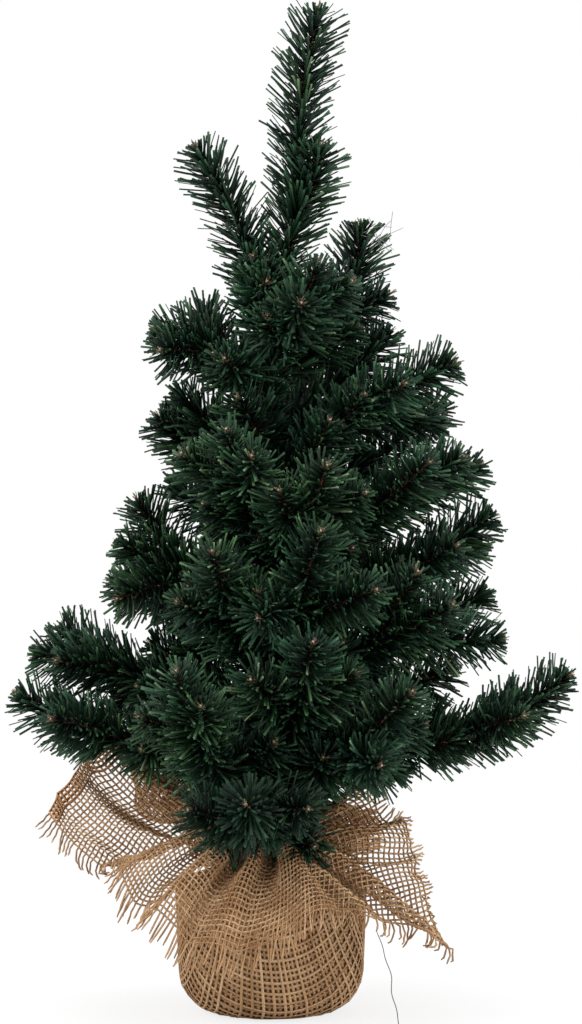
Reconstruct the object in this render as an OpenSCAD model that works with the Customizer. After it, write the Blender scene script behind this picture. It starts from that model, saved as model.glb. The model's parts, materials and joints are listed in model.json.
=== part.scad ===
// Artificial tabletop tree: a weighted base in a burlap wrap, a taped trunk rod,
// and twisted-wire branches with needle piles, each bent at its root on the trunk.

/* [Weight and cup] */
// Outer radius of the casting cup at its rim
cup_r = 54.5; // [45:0.5:65]
// Height of the cup
cup_h = 74; // [60:1:90]
// Wall of the cup
cup_wall = 1.2; // [0.8:0.1:2.5]
// How much narrower the cup is above its bottom round than at its rim
cup_taper = 2; // [0:0.5:6]
// Radius of the round at the cup's bottom edge
cup_round = 22; // [10:1:30]
// How far the poured cement stays below the cup's rim
cement_drop = 4; // [2:1:20]

/* [Trunk] */
// Radius of the steel trunk rod
rod_r = 2.5; // [1.5:0.1:3.5]
// Height of the rod's top end above the table
rod_top = 398; // [360:1:430]
// Cement left under the rod's end
rod_cover = 6.6; // [4:0.1:15]
// Thickness of the tape and the wire ends bound under it, at the bottom of the trunk
wrap_low_t = 4.5; // [3:0.1:7]
// The same at the top of the trunk
wrap_high_t = 1.8; // [1:0.1:3]
// Height of one turn of the trunk tape
tape_turn = 24; // [16:1:40]
// How much each turn of tape steps in from the one below
tape_step = 0.2; // [0.1:0.05:0.4]

/* [Burlap] */
// Thickness of the cloth solid
cloth_t = 1.6; // [1:0.1:2.5]
// Thickness of the bunched cloth at the neck
neck_t = 5; // [3:0.5:8]
// Height of the gathered neck above the cup's rim
neck_rise = 16; // [10:1:24]
// Length of the neck under the tie
neck_l = 8; // [6:1:14]
// The reach from the trunk that the ruffle table's reaches are per cent of
ruffle_r = 100; // [85:1:105]
// Depth of the waves along the ruffle's edge
wave_depth = 3; // [0:0.5:5]

/* [Neck tie] */
// Radius of the twine
twine_r = 1.3; // [0.8:0.1:2]
// Number of turns of twine
twine_turns = 3; // [2:1:4]

/* [Wires] */
// Radius of the twisted wire, both strands together
wire_r = 1; // [0.8:0.05:1.2]
// How far a twig's wire runs wound beside the main wire before the fork
wind_l = 8; // [5:1:12]
// Length of bare wire between the trunk and the first needles
bare_l = 10; // [8:1:20]
// Length of wire that stands out past the last needles
tip_l = 6; // [3:1:10]
// The length that the branch table's lengths are per cent of
branch_l = 100; // [90:1:105]
// Height of the leader's tip above its root
leader_l = 198; // [160:1:210]

/* [Needles] */
// Length of a needle
needle_l = 25; // [18:1:28]
// Angle between a needle and its wire
needle_lean = 54; // [40:1:65]
// Angle between the last needles of a twig and its wire
tip_lean = 36; // [25:1:50]
// Length of a twig's last needles in per cent of the others
tip_share = 60; // [45:5:100]
// Thickness of the pile's root sleeve, which the needles stand in
sleeve_t = 0.2; // [0.15:0.05:0.6]
// Spacing of the needle whorls along a wire
whorl = 13.5; // [9:0.5:18]
// How much each whorl is turned from the one before
whorl_turn = 37; // [20:1:42]

/* [Fits] */
// Gap between the cloth and what it wraps
cloth_gap = 0.5; // [0.4:0.05:1]
// Gap between cast or bound pieces
cast_gap = 0.1; // [0.05:0.05:0.3]
// Gap between a bendable piece and its seat
seat_gap = 0.3; // [0.2:0.05:0.5]

/* [Hidden] */
// Branches: name, place on the bare trunk in per cent of its length, azimuth, rise of the
// first stretch, rise gained by the tip, wire length, distance of the fork from the root,
// and the twigs wound on at the fork as [turn, pitch, length]. The lengths are per cent of
// branch_l. Azimuth 0 is the photo's right, 90 its back and 270 its front.
branches = [
    ["lower_branch_1", 13, 350, 14, 22, 185, 112, [[-38, -8, 50], [36, 2, 46]]],
    ["lower_branch_2", 10, 310, 25, 12, 136, 60, [[-14, -30, 56], [44, -8, 52]]],
    ["lower_branch_3", 4, 264, 9, 8, 121, 60, [[-42, -2, 50], [40, 0, 48]]],
    ["lower_branch_4", 18, 282, 29, 12, 132, 62, [[-40, -10, 50], [40, -6, 50]]],
    ["lower_branch_5", 8, 248, 25, 28, 160, 92, [[-44, -12, 46], [14, -6, 54]]],
    ["lower_branch_6", 14, 187, 14, 14, 152, 84, [[-34, -4, 52], [34, -4, 54]]],
    ["lower_branch_7", 24, 175, 20, -10, 142, 78, [[-22, 12, 62], [30, -2, 52]]],
    ["lower_branch_8", 12, 128, 16, 16, 150, 76, [[-40, -4, 58], [38, -2, 56]]],
    ["lower_branch_9", 9, 68, 15, 16, 150, 74, [[-44, -2, 60], [42, -4, 58]]],
    ["middle_branch_1", 32, 325, 20, 8, 130, 68, [[-14, 24, 62], [34, -20, 76]]],
    ["middle_branch_2", 42, 359, 28, 4, 144, 74, [[-36, -8, 50], [34, -16, 66]]],
    ["middle_branch_3", 35, 286, 38, 8, 128, 58, [[-36, -42, 56], [28, -28, 64]]],
    ["middle_branch_4", 32, 251, 38, 8, 124, 58, [[-26, -22, 50], [30, -12, 46]]],
    ["middle_branch_5", 45, 188, 28, 2, 96, 44, [[-18, 26, 62], [30, -36, 56]]],
    ["middle_branch_6", 38, 140, 24, 8, 122, 58, [[-38, -6, 52], [36, -8, 54]]],
    ["middle_branch_7", 43, 72, 26, 8, 128, 62, [[-40, -6, 54], [38, -4, 54]]],
    ["upper_branch_1", 75, 354, 37, -14, 122, 54, [[-40, -8, 46], [22, -36, 56]]],
    ["upper_branch_2", 54, 345, 33, -2, 130, 55, [[-29, 0, 68], [34, -8, 86]]],
    ["upper_branch_3", 52, 291, 38, 5, 110, 52, [[-36, -8, 46], [36, -12, 48]]],
    ["upper_branch_4", 57, 251, 44, 8, 104, 48, [[-42, -12, 50], [20, -14, 50]]],
    ["upper_branch_5", 89, 188, 44, -28, 78, 36, [[-80, 8, 46], [30, -26, 42]]],
    ["upper_branch_6", 67, 146, 36, 4, 92, 42, [[-44, -6, 50], [34, 4, 46]]],
    ["upper_branch_7", 74, 78, 35, 6, 98, 46, [[-52, 6, 68], [38, -6, 46]]],
    ["top_branch_1", 97, 190, 88, -28, 134, 34, [[-130, -50, 30], [88, -56, 32]]],
    ["top_branch_2", 93, 36, 40, 42, 118, 54, [[-44, -34, 36], [52, -30, 46]]],
    ["top_branch_3", 97, 302, 45, 8, 72, 30, [[-24, -36, 40], [38, -14, 40]]]
];

// The ruffle's edge: azimuth, reach in per cent of ruffle_r, height in per cent of the
// neck's. The left corner stands up, the right front corner hangs low, and the front lies
// on the base.
ruffle_edge = [
    [0, 96, 72], [30, 93, 106], [60, 86, 96], [90, 90, 74], [120, 98, 96], [145, 112, 140],
    [160, 119, 147], [172, 128, 134], [184, 141, 109], [193, 118, 89], [203, 100, 72],
    [213, 88, 51], [223, 80, 35], [245, 76, 33], [268, 77, 36], [290, 79, 60], [315, 98, 52],
    [335, 119, 41], [348, 104, 56], [360, 96, 72]
];

// The leader's wire from the top of the trunk to its tip, its fork's distance along it, and
// its side twig from the fork, all in per cent of leader_l
leader_path = [[0.5, 0, 0], [3, 0, 16.2], [7.6, 0, 39.4], [8.6, -0.5, 59.6], [10.1, -0.5, 75.8], [14.1, 0, 100]];
leader_fork = 34.4;
leader_twig = [[5.6, -3.5, 12.1], [8.6, -5.6, 24.2]];

cup_z = cloth_t + cloth_gap;
cup_top = cup_z + cup_h;
cement_z = cup_z + cup_wall + cast_gap;
cement_top = cup_top - cement_drop;
rod_z = cement_z + rod_cover + cast_gap;
neck_z = cup_top + neck_rise;
neck_top = neck_z + neck_l;
wrap_z = cement_top + cast_gap;
wrap_in = rod_r + cast_gap;
wrap_l = rod_top - wrap_z;
neck_in = wrap_r(neck_z) + cloth_gap;
neck_out = neck_in + neck_t;
cloth_steps = 36;
ruffle_steps = 4;
bottom_steps = 4;
waves = 9;
wire_sides = 6;
pile_sides = 4;
bore_r = (wire_r + seat_gap) / cos(180 / pile_sides);
pile_r = (bore_r + sleeve_t) / cos(180 / pile_sides);
beside = 2 * wire_r + seat_gap;
twine_pitch = 1.7 * twine_r;
own_side = 0.84;
shortest = 0.04 * needle_l;
spread = branch_l / 100;

// ---- places along the trunk ----

function mix(a, b, t) = a + (b - a) * t;

// Outer radius of the taped trunk at height z, without its steps
function wrap_r(z) = wrap_in + mix(wrap_low_t, wrap_high_t, (z - wrap_z) / wrap_l);

function root_z(b) = mix(neck_top, rod_top, b[1] / 100);
function root_r(z) = wrap_r(min(z, rod_top)) + seat_gap + wire_r;

function heading(az, rise) = [cos(az) * cos(rise), sin(az) * cos(rise), sin(rise)];
function sideways(az) = [-sin(az), cos(az), 0];

// ---- paths of the wires ----

function main_wire(b) = let(
    az = b[2], z = root_z(b), half = spread * (b[5] - b[6]) / 2,
    root = [root_r(z) * cos(az), root_r(z) * sin(az), z],
    fork = root + spread * b[6] * heading(az, b[3]),
    knee = fork + half * heading(az, b[3] + b[4] / 2))
    [root, fork, knee, knee + half * heading(az, b[3] + b[4])];

// A twig's wire lies beside the main wire up to the fork, then leaves it
function twig_wire(b, i) = let(
    t = b[7][i],
    fork = main_wire(b)[1] + sign(t[0]) * beside * sideways(b[2]))
    [fork - wind_l * heading(b[2], b[3]), fork,
     fork + spread * t[2] * twig_heading(b, t)];

function twig_heading(b, t) = heading(b[2] + t[0], b[3] + b[4] / 2 + t[1]);

// How far past a fork two piles can start, on wires that leave it in the directions u and v
function parting(u, v) = max(wind_l, (2 * pile_r + 2 * seat_gap) / norm(u - v));

function on_top(path) = [for (p = path) leader_l * p / 100 + [0, 0, rod_top + seat_gap + wire_r]];

leader_wire = on_top(leader_path);
leader_side = let(
    fork_at = leader_l * leader_fork / 100, front = beside * [0, -1, 0],
    fork = along(leader_wire, fork_at) + front)
    concat([along(leader_wire, fork_at - wind_l) + front, fork],
           [for (p = leader_twig) fork + leader_l * p / 100]);

wires = concat(
    [leader_wire, leader_side],
    [for (b = branches) each [main_wire(b), twig_wire(b, 0), twig_wire(b, 1)]]);

// ---- closed meshes swept along a path ----

function unit(v) = v / norm(v);
function length_of(path) = len(path) < 2 ? 0
    : norm(path[1] - path[0]) + length_of([for (i = [1:len(path) - 1]) path[i]]);

// The point at distance d along a path
function along(path, d, i = 0) = let(step = norm(path[i + 1] - path[i]))
    d <= step || i == len(path) - 2 ? path[i] + d * unit(path[i + 1] - path[i])
    : along(path, d - step, i + 1);

function way(path, i) = unit(path[min(i + 1, len(path) - 1)] - path[max(i - 1, 0)]);

// A path without its first and last stretch
function trimmed(path, first, last) = let(total = length_of(path))
    concat([along(path, first)],
           [for (i = [1:1:len(path) - 2])
               let(d = length_of([for (k = [0:i]) path[k]])) if (d > first && d < total - last) path[i]],
           [along(path, total - last)]);

// A ring of points round p, square to the direction dir and level with side
function ring(p, dir, side, r, n, turn = 0) = let(v = unit(cross(dir, side)), u = cross(v, dir))
    [for (i = [0:n - 1]) let(a = turn + i * 360 / n) p + r * (cos(a) * u + sin(a) * v)];

function level_side(path) = let(d = path[len(path) - 1] - path[0]) sideways(atan2(d[1], d[0]));

// A wire. The root of one that bends there is rounded about the bend's axis.
module rod(path, r, bends) {
    side = level_side(path);
    dir = way(path, 0);
    rings = concat(
        bends ? [for (a = [75, 35]) ring(path[0] - r * sin(a) * dir, dir, side, r * cos(a), wire_sides)] : [],
        [for (i = [0:len(path) - 1]) ring(path[i], way(path, i), side, r, wire_sides)]);
    n = wire_sides;
    last = len(rings) - 1;
    polyhedron(
        [for (points = rings) each points],
        concat(
            [[for (j = [0:n - 1]) j]],
            [for (i = [0:last - 1], j = [0:n - 1]) let(k = (j + 1) % n)
                each [[i * n + j, (i + 1) * n + k, i * n + k], [i * n + j, (i + 1) * n + j, (i + 1) * n + k]]],
            [[for (j = [n - 1:-1:0]) last * n + j]]));
}

// ---- needle piles ----

function nearest(p, s) = let(d = s[1] - s[0]) s[0] + max(0, min(1, (p - s[0]) * d / (d * d))) * d;

// All the stretches of wire, with the trunk and the ruffle, that a pile keeps clear of
function stretches(path) = [for (i = [0:len(path) - 2]) [path[i], path[i + 1]]];
ruffle_ring = [for (e = ruffle_edge, s = [0.55, 1]) ruffle_point(e[0], s)];
obstacles = concat(
    [[[0, 0, neck_top], [0, 0, rod_top]]],
    [for (i = [0:2:len(ruffle_ring) - 4], k = [0, 1]) [ruffle_ring[i + k], ruffle_ring[i + k + 2]]]);

function neighbours(path, own) = let(
    mid = along(path, length_of(path) / 2), reach = length_of(path) / 2 + 2 * needle_l)
    [for (s = concat(obstacles, [for (i = [0:len(wires) - 1]) if (i != own) each stretches(wires[i])]))
        if (norm(nearest(mid, s) - mid) < reach) s];

// A needle is as long as it can be on its own side of the middle between two wires, which
// is found for the needle's middle and for its tip
function fit_needle(from, base, dir, l, near) = max(shortest, min(concat([l],
    [for (s = near, share = [0.5, 1]) let(q = nearest(base + share * l * dir, s) - from, facing = dir * q)
        if (facing > 0) (own_side * (q * q) / 2 - (base - from) * q) / facing])));

// The pile of one stretch of wire: a root sleeve with a bore for the wire, every triangle
// of which rises to one needle. The needles of a twig's end lean further forward and are
// shorter.
module pile(path, own, to_tip) {
    total = length_of(path);
    count = max(1, round(total / whorl));
    side = level_side(path);
    near = neighbours(path, own);
    n = pile_sides;
    at = [for (k = [0:count]) along(path, total * k / count)];
    dirs = [for (k = [0:count]) way(at, k)];
    outer = [for (k = [0:count]) ring(at[k], dirs[k], side, pile_r, n, k * whorl_turn)];
    inner = [for (i = [0:len(path) - 1]) each ring(path[i], way(path, i), side, bore_r, n)];
    roots = [for (k = [0:count - 1], j = [0:n - 1]) let(i = (j + 1) % n)
        each [[[k, j], [k, i], [k + 1, j]], [[k, i], [k + 1, i], [k + 1, j]]]];
    tips = [for (t = roots) let(
        k = t[0][0], centre = (outer[t[0][0]][t[0][1]] + outer[t[1][0]][t[1][1]] + outer[t[2][0]][t[2][1]]) / 3,
        from = mix(at[k], at[k + 1], t[1][0] == k + 1 ? 0.67 : 0.33),
        ending = to_tip ? pow((k + 1) / count, 4) : 0,
        lean = mix(needle_lean, tip_lean, ending),
        dir = unit(cos(lean) * dirs[k] + sin(lean) * unit(centre - from - ((centre - from) * dirs[k]) * dirs[k])),
        l = needle_l * mix(1, tip_share / 100, ending) * (0.9 + 0.1 * sin(137 * (k * 8 + t[0][1] * 3))))
        centre + fit_needle(from, centre, dir, l, near) * dir];
    first_in = (count + 1) * n;
    spans = len(path) - 1;
    first_tip = first_in + (spans + 1) * n;
    last = count * n;
    last_in = first_in + spans * n;
    polyhedron(
        concat([for (k = [0:count]) each outer[k]], inner, tips),
        concat(
            [for (i = [0:len(roots) - 1], e = [0:2]) let(t = roots[i], a = t[e], b = t[(e + 1) % 3])
                [b[0] * n + b[1], a[0] * n + a[1], first_tip + i]],
            [for (s = [0:spans - 1], j = [0:n - 1]) let(a = first_in + s * n + j, b = first_in + s * n + (j + 1) % n)
                each [[a, b, a + n], [b, b + n, a + n]]],
            [for (j = [0:n - 1]) let(i = (j + 1) % n)
                each [[j, i, first_in + j], [i, first_in + i, first_in + j]]],
            end_faces(at[count], outer[count], inner, last, last_in, n)));
}

// The far end's faces join the turned outer ring to the inner ring, corner by corner
function end_faces(centre, ring_out, inner, last, last_in, n) = let(
    base = len(inner) - n,
    gap = [for (s = [0:n - 1]) norm(ring_out[0] - inner[base + s])],
    s = [for (i = [0:n - 1]) if (gap[i] == min(gap)) i][0])
    [for (j = [0:n - 1]) let(i = (j + 1) % n, a = (j + s) % n, b = (i + s) % n)
        each [[last + i, last + j, last_in + a], [last + i, last_in + a, last_in + b]]];

// ---- base ----

// The cup's outline from the axis to the rim, moved in by inset
function cup_line(inset, top) = let(
    r = cup_round - inset, arc_r = cup_r - cup_taper - cup_round, arc_z = cup_z + cup_round,
    wall_x = function(z) cup_r - inset - cup_taper * (cup_top - z) / (cup_top - arc_z))
    concat([for (i = [0:bottom_steps]) let(a = -90 + 90 * i / bottom_steps)
               [arc_r + r * cos(a), arc_z + r * sin(a)]],
           [[wall_x(top), top]]);

module casting_cup() {
    color("gainsboro") rotate_extrude($fn = 96) polygon(concat(
        [[0, cup_z]], cup_line(0, cup_top),
        [for (i = [bottom_steps + 1:-1:0]) cup_line(cup_wall, cup_top)[i]],
        [[0, cup_z + cup_wall]]));
}

module cement_weight() {
    hole_z = rod_z - cast_gap;
    color("darkgray") rotate_extrude($fn = 96) polygon(concat(
        [[0, cement_z]], cup_line(cup_wall + cast_gap, cement_top),
        [[rod_r + cast_gap, cement_top], [rod_r + cast_gap, hole_z], [0, hole_z]]));
}

module trunk_core() {
    color("dimgray") translate([0, 0, rod_z]) cylinder(r = rod_r, h = rod_top - rod_z, $fn = 48);
}

// Tape wound up the rod: each turn steps in a little and the whole tapers upwards
module trunk_wrap() {
    turns = floor(wrap_l / tape_turn);
    color("darkolivegreen") rotate_extrude($fn = 48) polygon(concat(
        [[wrap_in, wrap_z]],
        [for (i = [0:turns - 1]) let(low = mix(wrap_z, rod_top, i / turns), high = mix(wrap_z, rod_top, (i + 1) / turns))
            each [[wrap_r(low) - (i == 0 ? 0 : tape_step / 2), low], [wrap_r(high), high]]],
        [[wrap_in, rod_top]]));
}

module neck_tie() {
    mid = (neck_z + neck_top) / 2 - (twine_turns - 1) * twine_pitch / 2;
    color("peru") rotate_extrude($fn = 64)
        for (i = [0:twine_turns - 1])
            translate([neck_out + seat_gap + twine_r, mid + i * twine_pitch]) circle(r = twine_r, $fn = 32);
}

// ---- burlap ----

function bezier(p, t) = pow(1 - t, 3) * p[0] + 3 * t * pow(1 - t, 2) * p[1]
    + 3 * t * t * (1 - t) * p[2] + pow(t, 3) * p[3];
function edge_r(az) = ruffle_r / 100 * lookup(az, [for (e = ruffle_edge) [e[0], e[1]]]);
function edge_z(az) = neck_top / 100 * lookup(az, [for (e = ruffle_edge) [e[0], e[2]]]);

// The ruffle's section at an azimuth: out of the neck, over the cup's shoulder, to the edge
function ruffle_line(az, s) = let(
    r = edge_r(az), z = edge_z(az) + wave_depth * sin(waves * az), drop = max(0, neck_top - z))
    bezier([[neck_out, neck_top], [neck_out + 18, neck_top + 10],
            [r * mix(0.7, 1, min(1, drop / 60)), z + 0.65 * drop], [r, z]], s);
function ruffle_way(az, s) = unit(ruffle_line(az, min(1, s + 0.02)) - ruffle_line(az, max(0, s - 0.02)));
function ruffle_over(az, s) = let(w = ruffle_way(az, s)) ruffle_line(az, s) + cloth_t * [-w[1], w[0]];
function ruffle_point(az, s) = let(p = ruffle_over(az, s)) [p[0] * cos(az), p[0] * sin(az), p[1]];

// One closed profile of the cloth at an azimuth: under the base, up its side to the neck,
// out to the ruffle's edge, back over the ruffle and down inside
function cloth_line(az) = concat(
    cup_line(-cloth_gap - cloth_t, cup_top),
    [[neck_out, neck_z]],
    [for (i = [0:ruffle_steps]) ruffle_line(az, i / ruffle_steps)],
    [for (i = [ruffle_steps:-1:1]) ruffle_over(az, i / ruffle_steps)],
    [[neck_in, neck_top + cloth_t], [neck_in, neck_z]],
    [for (i = [bottom_steps + 1:-1:0]) cup_line(-cloth_gap, cup_top)[i]]);

module burlap_wrap() {
    lines = [for (i = [0:cloth_steps - 1]) cloth_line(i * 360 / cloth_steps)];
    m = len(lines[0]);
    n = cloth_steps;
    color("tan") polyhedron(
        concat([for (i = [0:n - 1], p = lines[i]) let(az = i * 360 / n) [p[0] * cos(az), p[0] * sin(az), p[1]]],
               [[0, 0, 0], [0, 0, cloth_t]]),
        concat(
            [for (i = [0:n - 1], j = [0:m - 2]) let(a = i * m + j, b = ((i + 1) % n) * m + j)
                each [[a, b + 1, b], [a, a + 1, b + 1]]],
            [for (i = [0:n - 1]) [n * m, i * m, ((i + 1) % n) * m]],
            [for (i = [0:n - 1]) [n * m + 1, ((i + 1) % n) * m + m - 1, i * m + m - 1]]));
}

// ---- leader and branches ----

module leader_stem() {
    color("saddlebrown") {
        rod(leader_wire, wire_r, true);
        rod(leader_side, wire_r, false);
    }
}

module leader_needles() {
    fork_at = leader_l * leader_fork / 100;
    clear = parting(way(leader_wire, 2), unit(leader_twig[0]));
    color("seagreen") {
        pile(trimmed(leader_wire, bare_l, length_of(leader_wire) - fork_at + wind_l + 2 * wire_r), 0, false);
        pile(trimmed(leader_wire, fork_at + clear, tip_l), 0, true);
        pile(trimmed(leader_side, wind_l + clear, tip_l), 1, true);
    }
}

module branch_stem(i) {
    color("saddlebrown") for (k = [0:2]) rod(wires[2 + 3 * i + k], wire_r, k == 0);
}

module branch_needles(i) {
    first = 2 + 3 * i;
    b = branches[i];
    fork_at = spread * b[6];
    clear = [for (t = b[7]) parting(heading(b[2], b[3] + b[4] / 2), twig_heading(b, t))];
    color("darkgreen") {
        pile(trimmed(wires[first], bare_l, length_of(wires[first]) - fork_at + wind_l + 2 * wire_r), first, false);
        pile(trimmed(wires[first], fork_at + max(clear), tip_l), first, true);
        for (k = [0, 1]) pile(trimmed(wires[first + 1 + k], wind_l + clear[k], tip_l), first + 1 + k, true);
    }
}

cement_weight();
casting_cup();
burlap_wrap();
neck_tie();
trunk_core();
trunk_wrap();
leader_stem();
leader_needles();
for (i = [0:len(branches) - 1]) {
    branch_stem(i);
    branch_needles(i);
}
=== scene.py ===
import json
import math
import bmesh
import bpy
import numpy as np
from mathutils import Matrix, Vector
from mathutils.bvhtree import BVHTree


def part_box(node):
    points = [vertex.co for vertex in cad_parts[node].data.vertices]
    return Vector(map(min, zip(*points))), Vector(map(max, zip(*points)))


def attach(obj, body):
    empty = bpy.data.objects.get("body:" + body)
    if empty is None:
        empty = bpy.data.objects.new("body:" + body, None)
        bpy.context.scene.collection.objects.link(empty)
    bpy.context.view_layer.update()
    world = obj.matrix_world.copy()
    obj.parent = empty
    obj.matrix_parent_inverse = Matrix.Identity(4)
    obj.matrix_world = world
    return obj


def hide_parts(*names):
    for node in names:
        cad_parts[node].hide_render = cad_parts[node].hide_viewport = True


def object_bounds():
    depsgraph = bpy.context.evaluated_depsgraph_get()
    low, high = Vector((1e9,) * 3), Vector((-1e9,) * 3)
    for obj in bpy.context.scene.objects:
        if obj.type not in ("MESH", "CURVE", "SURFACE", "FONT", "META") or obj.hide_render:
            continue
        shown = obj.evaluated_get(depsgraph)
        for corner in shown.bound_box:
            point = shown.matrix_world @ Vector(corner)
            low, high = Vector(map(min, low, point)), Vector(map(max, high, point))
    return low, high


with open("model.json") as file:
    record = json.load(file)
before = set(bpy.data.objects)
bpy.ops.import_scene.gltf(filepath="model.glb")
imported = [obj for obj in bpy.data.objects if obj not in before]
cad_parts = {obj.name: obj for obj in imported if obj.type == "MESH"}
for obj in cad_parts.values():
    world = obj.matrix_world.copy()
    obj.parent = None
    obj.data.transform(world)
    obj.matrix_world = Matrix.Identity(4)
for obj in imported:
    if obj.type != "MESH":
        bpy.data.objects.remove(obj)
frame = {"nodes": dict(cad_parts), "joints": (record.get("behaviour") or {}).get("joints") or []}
cadLow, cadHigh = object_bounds()
bpy.ops.object.select_all(action="DESELECT")
print("frame loaded:", len(frame["nodes"]), "nodes")

# the photograph's size, and the points read from it
imageWide, imageHigh = 582, 1024
imagePoints = {
    "leftmostNeedles": (4, 712),
    "rightmostNeedles": (580, 692),
    "topNeedles": (296, 0),
    "baseUnderside": (267, 1020),
    "leaderTip": (317, 6),
    "upperLeftTip": (194, 145),
    "middleLeftTip": (153, 328),
    "rightArmTip": (572, 673),
    "burlapLeftCorner": (34, 831),
    "burlapRightCorner": (456, 957),
    "looseThread": (376, 933),
    "strayFilaments": (384, 236),
}

cameraSetup = {
    "place": (0.01192, -1.9, 0.34),
    "pitchDown": 1.284,      # degrees
    "lens": 112.1,
    "sensorWide": 36,
    "shiftX": 0.0,
    "shiftY": 0.0,
    "farthest": 50,
    "search": (1.5, 2.2, 141),   # distances at which a ray that misses looks for the nearest place
}


def makeCamera():
    bpy.ops.object.camera_add(location=cameraSetup["place"])
    camera = bpy.context.object
    camera.name = "photoCamera"
    camera.rotation_euler = (math.radians(90 - cameraSetup["pitchDown"]), 0, 0)
    camera.data.sensor_fit = "AUTO"
    camera.data.sensor_width = cameraSetup["sensorWide"]
    camera.data.lens = cameraSetup["lens"]
    camera.data.shift_x = cameraSetup["shiftX"]
    camera.data.shift_y = cameraSetup["shiftY"]
    camera.data.clip_end = cameraSetup["farthest"]
    bpy.context.scene.camera = camera
    bpy.context.view_layer.update()
    return camera


camera = makeCamera()
longSide = max(imageWide, imageHigh)


def rayThrough(x, y):  # start and direction of the ray through an image point
    reach = Vector((x - imageWide / 2 + camera.data.shift_x * longSide,
                    imageHigh / 2 - y + camera.data.shift_y * longSide,
                    -longSide * camera.data.lens / camera.data.sensor_width))
    turn = camera.matrix_world.to_3x3()
    return camera.matrix_world.translation.copy(), (turn @ reach).normalized()


def seenSpot(x, y, deep):  # the point of the ray through an image point at a depth in millimetres
    start, way = rayThrough(x, y)
    return start + way * ((deep / 1000 - start.y) / way.y)


def placeOn(tree, x, y):  # where the ray meets a surface, or the surface's nearest place to the ray
    start, way = rayThrough(x, y)
    hit = tree.ray_cast(start, way)[0]
    if hit is not None:
        return hit
    best = None
    for step in np.linspace(*cameraSetup["search"]):
        spot, _, _, distance = tree.find_nearest(start + way * step)
        if best is None or distance < best[0]:
            best = (distance, spot)
    return best[1]


def seenAt(points):  # image places of points, as rows of x, y
    points = np.atleast_2d(np.array(points, float))
    back = np.array(camera.matrix_world.inverted())
    local = points @ back[:3, :3].T + back[:3, 3]
    focal = longSide * camera.data.lens / camera.data.sensor_width
    x = imageWide / 2 - focal * local[:, 0] / local[:, 2] - camera.data.shift_x * longSide
    y = imageHigh / 2 + focal * local[:, 1] / local[:, 2] + camera.data.shift_y * longSide
    return np.stack([x, y], 1)


print("camera set")

studio = {
    "floorSize": 14.0,
    "floorPlace": (0, 2, -0.0004),
    "floorColour": (0.90, 0.90, 0.90, 1),
    "fadeReach": (0.08, 0.8),    # distances from the tree between which the floor turns white,
    "fadeShare": (0.80, 1.0),    # and how white the camera sees it there
    "worldStrength": 0.5,
    "aim": (0, 0, 0.28),
    "lamps": (("keyLight", (-1.6, -1.1, 1.4), 1.6, 36.0),     # name, place, size and power
              ("fillLight", (1.8, -0.8, 0.9), 1.8, 28.0),
              ("topLight", (0.0, 0.2, 2.3), 1.8, 44.0)),
}
white = (1, 1, 1, 1)


def node(tree, kind, place, **inputs):  # a shader node with its inputs set by name
    made = tree.nodes.new(kind)
    made.location = place
    for name, value in inputs.items():
        made.inputs[name.replace("_", " ")].default_value = value
    return made


def maths(tree, kind, place, first, second):  # what two sockets give together
    made = node(tree, "ShaderNodeMath", place)
    made.operation = kind
    tree.links.new(first, made.inputs[0])
    tree.links.new(second, made.inputs[1])
    return made.outputs[0]


def mixShaders(tree, out, share, first, second):
    mix = node(tree, "ShaderNodeMixShader", (400, 0))
    for source, socket in ((share, 0), (first.outputs[0], 1), (second.outputs[0], 2)):
        tree.links.new(source, mix.inputs[socket])
    tree.links.new(mix.outputs[0], out.inputs[0])


def paperMaterial():  # glows white for the camera, a little less round the tree, where its shadow shows
    paper = bpy.data.materials.new("studioPaper")
    paper.use_nodes = True
    tree = paper.node_tree
    tree.nodes.clear()
    out = node(tree, "ShaderNodeOutputMaterial", (600, 0))
    diffuse = node(tree, "ShaderNodeBsdfDiffuse", (0, 0), Color=studio["floorColour"])
    glow = node(tree, "ShaderNodeEmission", (0, -200), Color=white, Strength=1.0)
    path = node(tree, "ShaderNodeLightPath", (-300, 300))
    where = node(tree, "ShaderNodeTexCoord", (-900, 100))
    far = node(tree, "ShaderNodeVectorMath", (-700, 100))  # distance from the tree
    far.operation = "LENGTH"
    tree.links.new(where.outputs["Object"], far.inputs[0])
    fade = node(tree, "ShaderNodeMapRange", (-500, 100))
    for socket, value in zip(fade.inputs[1:5], (*studio["fadeReach"], *studio["fadeShare"])):
        socket.default_value = value
    tree.links.new(far.outputs["Value"], fade.inputs[0])
    share = maths(tree, "MULTIPLY", (0, 300), path.outputs["Is Camera Ray"], fade.outputs[0])
    mixShaders(tree, out, share, diffuse, glow)
    return paper


def makeFloor():
    bpy.ops.mesh.primitive_plane_add(size=studio["floorSize"], location=studio["floorPlace"])
    floor = bpy.context.object
    floor.name = "studioFloor"
    bpy.ops.object.transform_apply(location=True, rotation=True, scale=True)
    floor.data.materials.append(paperMaterial())


def makeWorld():  # soft light for the tree, and white for the camera, reflections and glass
    world = bpy.data.worlds.new("studioWorld")
    bpy.context.scene.world = world
    world.use_nodes = True
    tree = world.node_tree
    tree.nodes.clear()
    out = node(tree, "ShaderNodeOutputWorld", (600, 0))
    soft = node(tree, "ShaderNodeBackground", (0, 0), Color=white, Strength=studio["worldStrength"])
    bright = node(tree, "ShaderNodeBackground", (0, -200), Color=white, Strength=1.0)
    path = node(tree, "ShaderNodeLightPath", (-500, 300)).outputs
    seen = maths(tree, "MAXIMUM", (-250, 300), path["Is Camera Ray"], path["Is Glossy Ray"])
    shown = maths(tree, "MAXIMUM", (0, 300), seen, path["Is Transmission Ray"])
    mixShaders(tree, out, shown, soft, bright)


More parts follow.
